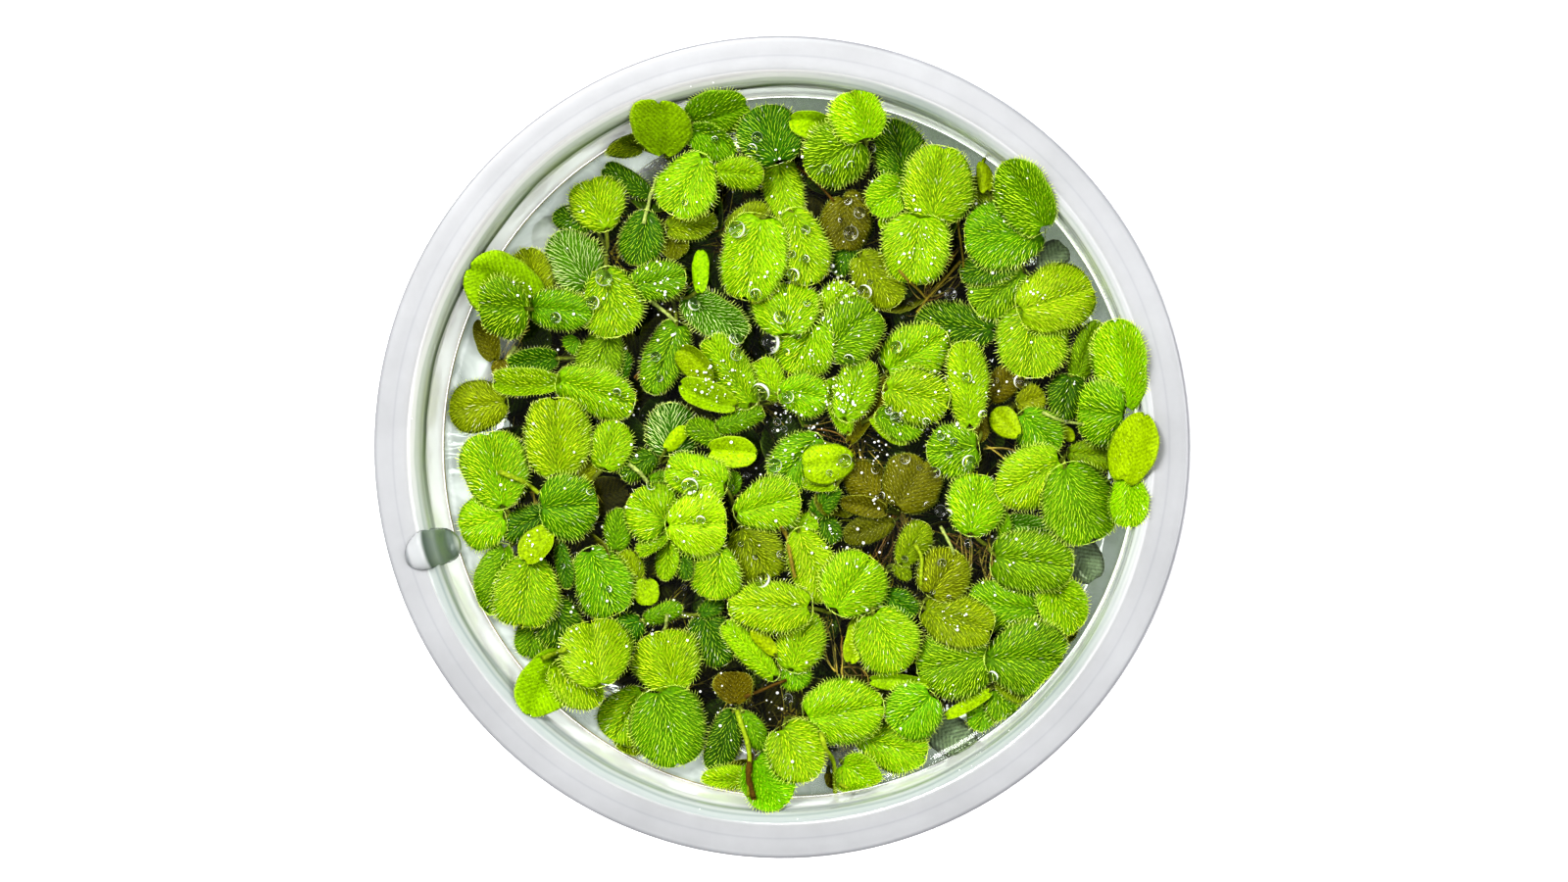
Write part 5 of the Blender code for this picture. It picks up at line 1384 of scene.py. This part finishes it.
def waterMaterial():
    made = Surface("water", Transmission_Weight=1.0, IOR=1.33, Roughness=0.0)
    place = made.place()
    made.bump(made.noise(place, 220.0, 2.0), 0.35, 0.6)
    radius = made.radius(place)
    height = made.add("ShaderNodeSeparateXYZ", {0: place}, "Z")
    onTop = made.mapped(height, (waterLevel - 1.0) * mm, (waterLevel - 0.3) * mm)
    leftwards = made.vector("DOT_PRODUCT", place, (-1.0, -0.2, 0.0), out="Value")
    onLeft = made.mapped(leftwards, *(at * mm for at in waterLook["byLeft"]), 0.15, 1.0)
    byWall = made.mapped(radius, *(at * mm for at in waterLook["byWall"]))
    clouds = made.noise(place, 130.0, 3.0, Distortion=1.0)
    # painted light: a pale, partly diffuse layer on the surface where it shows the light wall, strongest on
    # the left
    paleAmount = made.mapped(clouds, 0.35, 0.65, *waterLook["paintedPaleLight"])
    paintedPaleLight = made.product(byWall, paleAmount, made.product(onTop, onLeft))
    made.feed("Transmission Weight", made.number("SUBTRACT", 1.0, paintedPaleLight))
    # and a painted dark green shade beside the wall elsewhere
    notLeft = made.mapped(onLeft, 0.15, 0.75, 1.0, 0.0)
    shade = made.product(notLeft, made.mapped(clouds, 0.30, 0.60, 0.35, 1.0), byWall, onTop)
    rings = made.ringColours(radius, waterLook["edge"])
    made.feed("Base Color", made.mixed(shade, rings, waterLook["shade"]))
    absorption = made.add("ShaderNodeVolumeAbsorption", {
        "Color": waterLook["absorption"], "Density": waterLook["density"]})
    made.tree.links.new(absorption, made.tree.nodes["Material Output"].inputs["Volume"])
    return made.material


def waterProfile():
    # Flat, with a meniscus that climbs the wall, and a little clear of the plastic below
    edge = waterRadius - waterLook["wallGap"]
    profile = [(0.0, waterLevel), *((radius, waterLevel) for radius in np.linspace(2, edge - 5, 12))]
    for share in np.linspace(0.1, 1, 12):
        radius = edge - waterLook["meniscusReach"] * (1 - share)
        climb = waterLook["meniscus"] * math.exp(-(edge - radius) / waterLook["meniscusFall"])
        profile.append((radius, waterLevel + climb))
    return [*profile, (46.3, 3.0), (44.8, 1.35), (0.0, 1.35)]


water = objectFrom("water_filled", turnedMesh(
    "water_filled", waterProfile(), waterLook["turnSteps"], waterMaterial()))
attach(water, body)
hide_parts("water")
print("water made")

rimDrop = {
    "centre": (-51.0, -14.9),
    "across": 3.4,
    "along": 3.0,
    "height": 1.7,
    "foot": 0.03,
    "wobble": (0.05, 0.03),
    "rings": 12,
    "around": 48,
    # radius in mm and colour: painted light and dark bands of what shows through the drop
    "paintedBands": ((50.0, (0.55, 0.58, 0.52)), (50.5, (0.20, 0.25, 0.21)), (51.6, (0.26, 0.32, 0.28)),
              (52.3, (0.42, 0.48, 0.44)), (53.2, (0.16, 0.20, 0.18)), (53.5, (0.62, 0.64, 0.64)),
              (55.6, (0.66, 0.67, 0.68)), (56.2, (0.30, 0.32, 0.33)), (56.6, (0.70, 0.71, 0.72))),
}


def rimDropMaterial():
    # Painted by radius: light where it lies on the flange, grey-green and dark bands where the wall and the
    # lip's rings show through it
    made = Surface("rim drop", Transmission_Weight=0.45, IOR=1.33, Roughness=0.02)
    made.feed("Base Color", made.ringColours(made.radius(made.place()), rimDrop["paintedBands"]))
    return made.material


def lipHeight(radius):
    return np.interp(radius, (wallTopRadius - 1.0, wallTopRadius, lipRadius - 0.3, lipRadius),
                     (wallTop - 6.0, wallTop + 0.2, tubHeight - 0.1, tubHeight))


def rimDropMesh():
    # A drop that hangs over the lip's edge: its foot follows the plastic, its top is a dome
    centre = np.array(rimDrop["centre"])
    out = centre / np.hypot(*centre)
    side = np.array((-out[1], out[0]))
    around = rimDrop["around"]
    shares = np.linspace(0, 1, rimDrop["rings"] + 1)[1:]
    long, short = rimDrop["wobble"]
    points, faces = [], []
    for isTop, share in [(True, share) for share in shares] + [(False, share) for share in shares[-2::-1]]:
        for angle in np.arange(around) * 2 * np.pi / around:
            wobble = 1 + long * math.sin(2 * angle + 0.6) + short * math.sin(3 * angle)
            reach = out * math.cos(angle) * rimDrop["across"] + side * math.sin(angle) * rimDrop["along"]
            place = centre + reach * share * wobble
            ground = lipHeight(max(np.hypot(*place), wallTopRadius - 0.6))
            rise = rimDrop["height"] * (1 - share ** 2.6) ** 0.6 if isTop else -rimDrop["foot"]
            points.append((*place, ground + rise))
    last = len(points) - around
    ground = lipHeight(np.hypot(*centre))
    points += [(*centre, ground + rimDrop["height"]), (*centre, ground - rimDrop["foot"])]
    for start in range(0, last, around):
        for j in range(around):
            after = (j + 1) % around
            faces.append((start + j, start + around + j, start + around + after, start + after))
    for j in range(around):
        after = (j + 1) % around
        faces += [(len(points) - 2, j, after), (len(points) - 1, last + after, last + j)]
    return meshFrom("rim_drop", points, faces, rimDropMaterial())


rimWater = objectFrom("rim_drop", rimDropMesh())
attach(rimWater, body)
print("drop on the rim made")

studio = {
    "floor": (0.6, 0.6, 0.6, 1.0),
    "floorGlow": 0.75,
    "floorHalf": 900.0,
    "white": (1.0, 1.0, 1.0, 1.0),
    "world": 0.46,
    "aim": (0.0, 0.0, 0.05),
    # place, size and power of the softboxes
    "key": ((-0.26, 0.34, 0.68), (0.30, 0.30), 5.8),
    "fill": ((0.42, 0.02, 0.60), (0.30, 0.50), 2.3),
}

floorLook = Surface("pale floor", Base_Color=studio["floor"], Roughness=0.8,
                    Emission_Color=studio["white"], Emission_Strength=studio["floorGlow"])
half = studio["floorHalf"]
corners = [(-half, -half, 0), (half, -half, 0), (half, half, 0), (-half, half, 0)]
floor = objectFrom("floor", meshFrom("floor", corners, [(0, 1, 2, 3)], floorLook.material))

world = bpy.data.worlds.new("studio")
bpy.context.scene.world = world
world.use_nodes = True
background = world.node_tree.nodes["Background"]
background.inputs["Color"].default_value = studio["white"]
background.inputs["Strength"].default_value = studio["world"]

for name in ("key", "fill"):
    place, size, power = studio[name]
    light = bpy.data.lights.new(name + " softbox", "AREA")
    light.shape = "RECTANGLE"
    light.size, light.size_y = size
    light.energy = power
    lamp = objectFrom(name + " softbox", light)
    lamp.location = place
    lamp.rotation_euler = (Vector(studio["aim"]) - Vector(place)).to_track_quat("-Z", "Y").to_euler()

view = {"distance": 600.0, "tilt": 7.4, "aim": (1.1, 0.85, 60.0), "lens": 96.17}
camera = objectFrom("camera", bpy.data.cameras.new("camera"))
camera.data.lens = view["lens"]
camera.data.sensor_width = 36.0
camera.data.clip_start = 0.01
tilt = math.radians(view["tilt"])
camera.location = (Vector(view["aim"]) + Vector((math.sin(tilt), 0, math.cos(tilt))) * view["distance"]) * mm
camera.rotation_euler = (0.0, tilt, 0.0)
bpy.context.scene.camera = camera
bpy.context.scene.view_settings.view_transform = "Standard"
bpy.context.scene.view_settings.look = "High Contrast"
print("stage set")
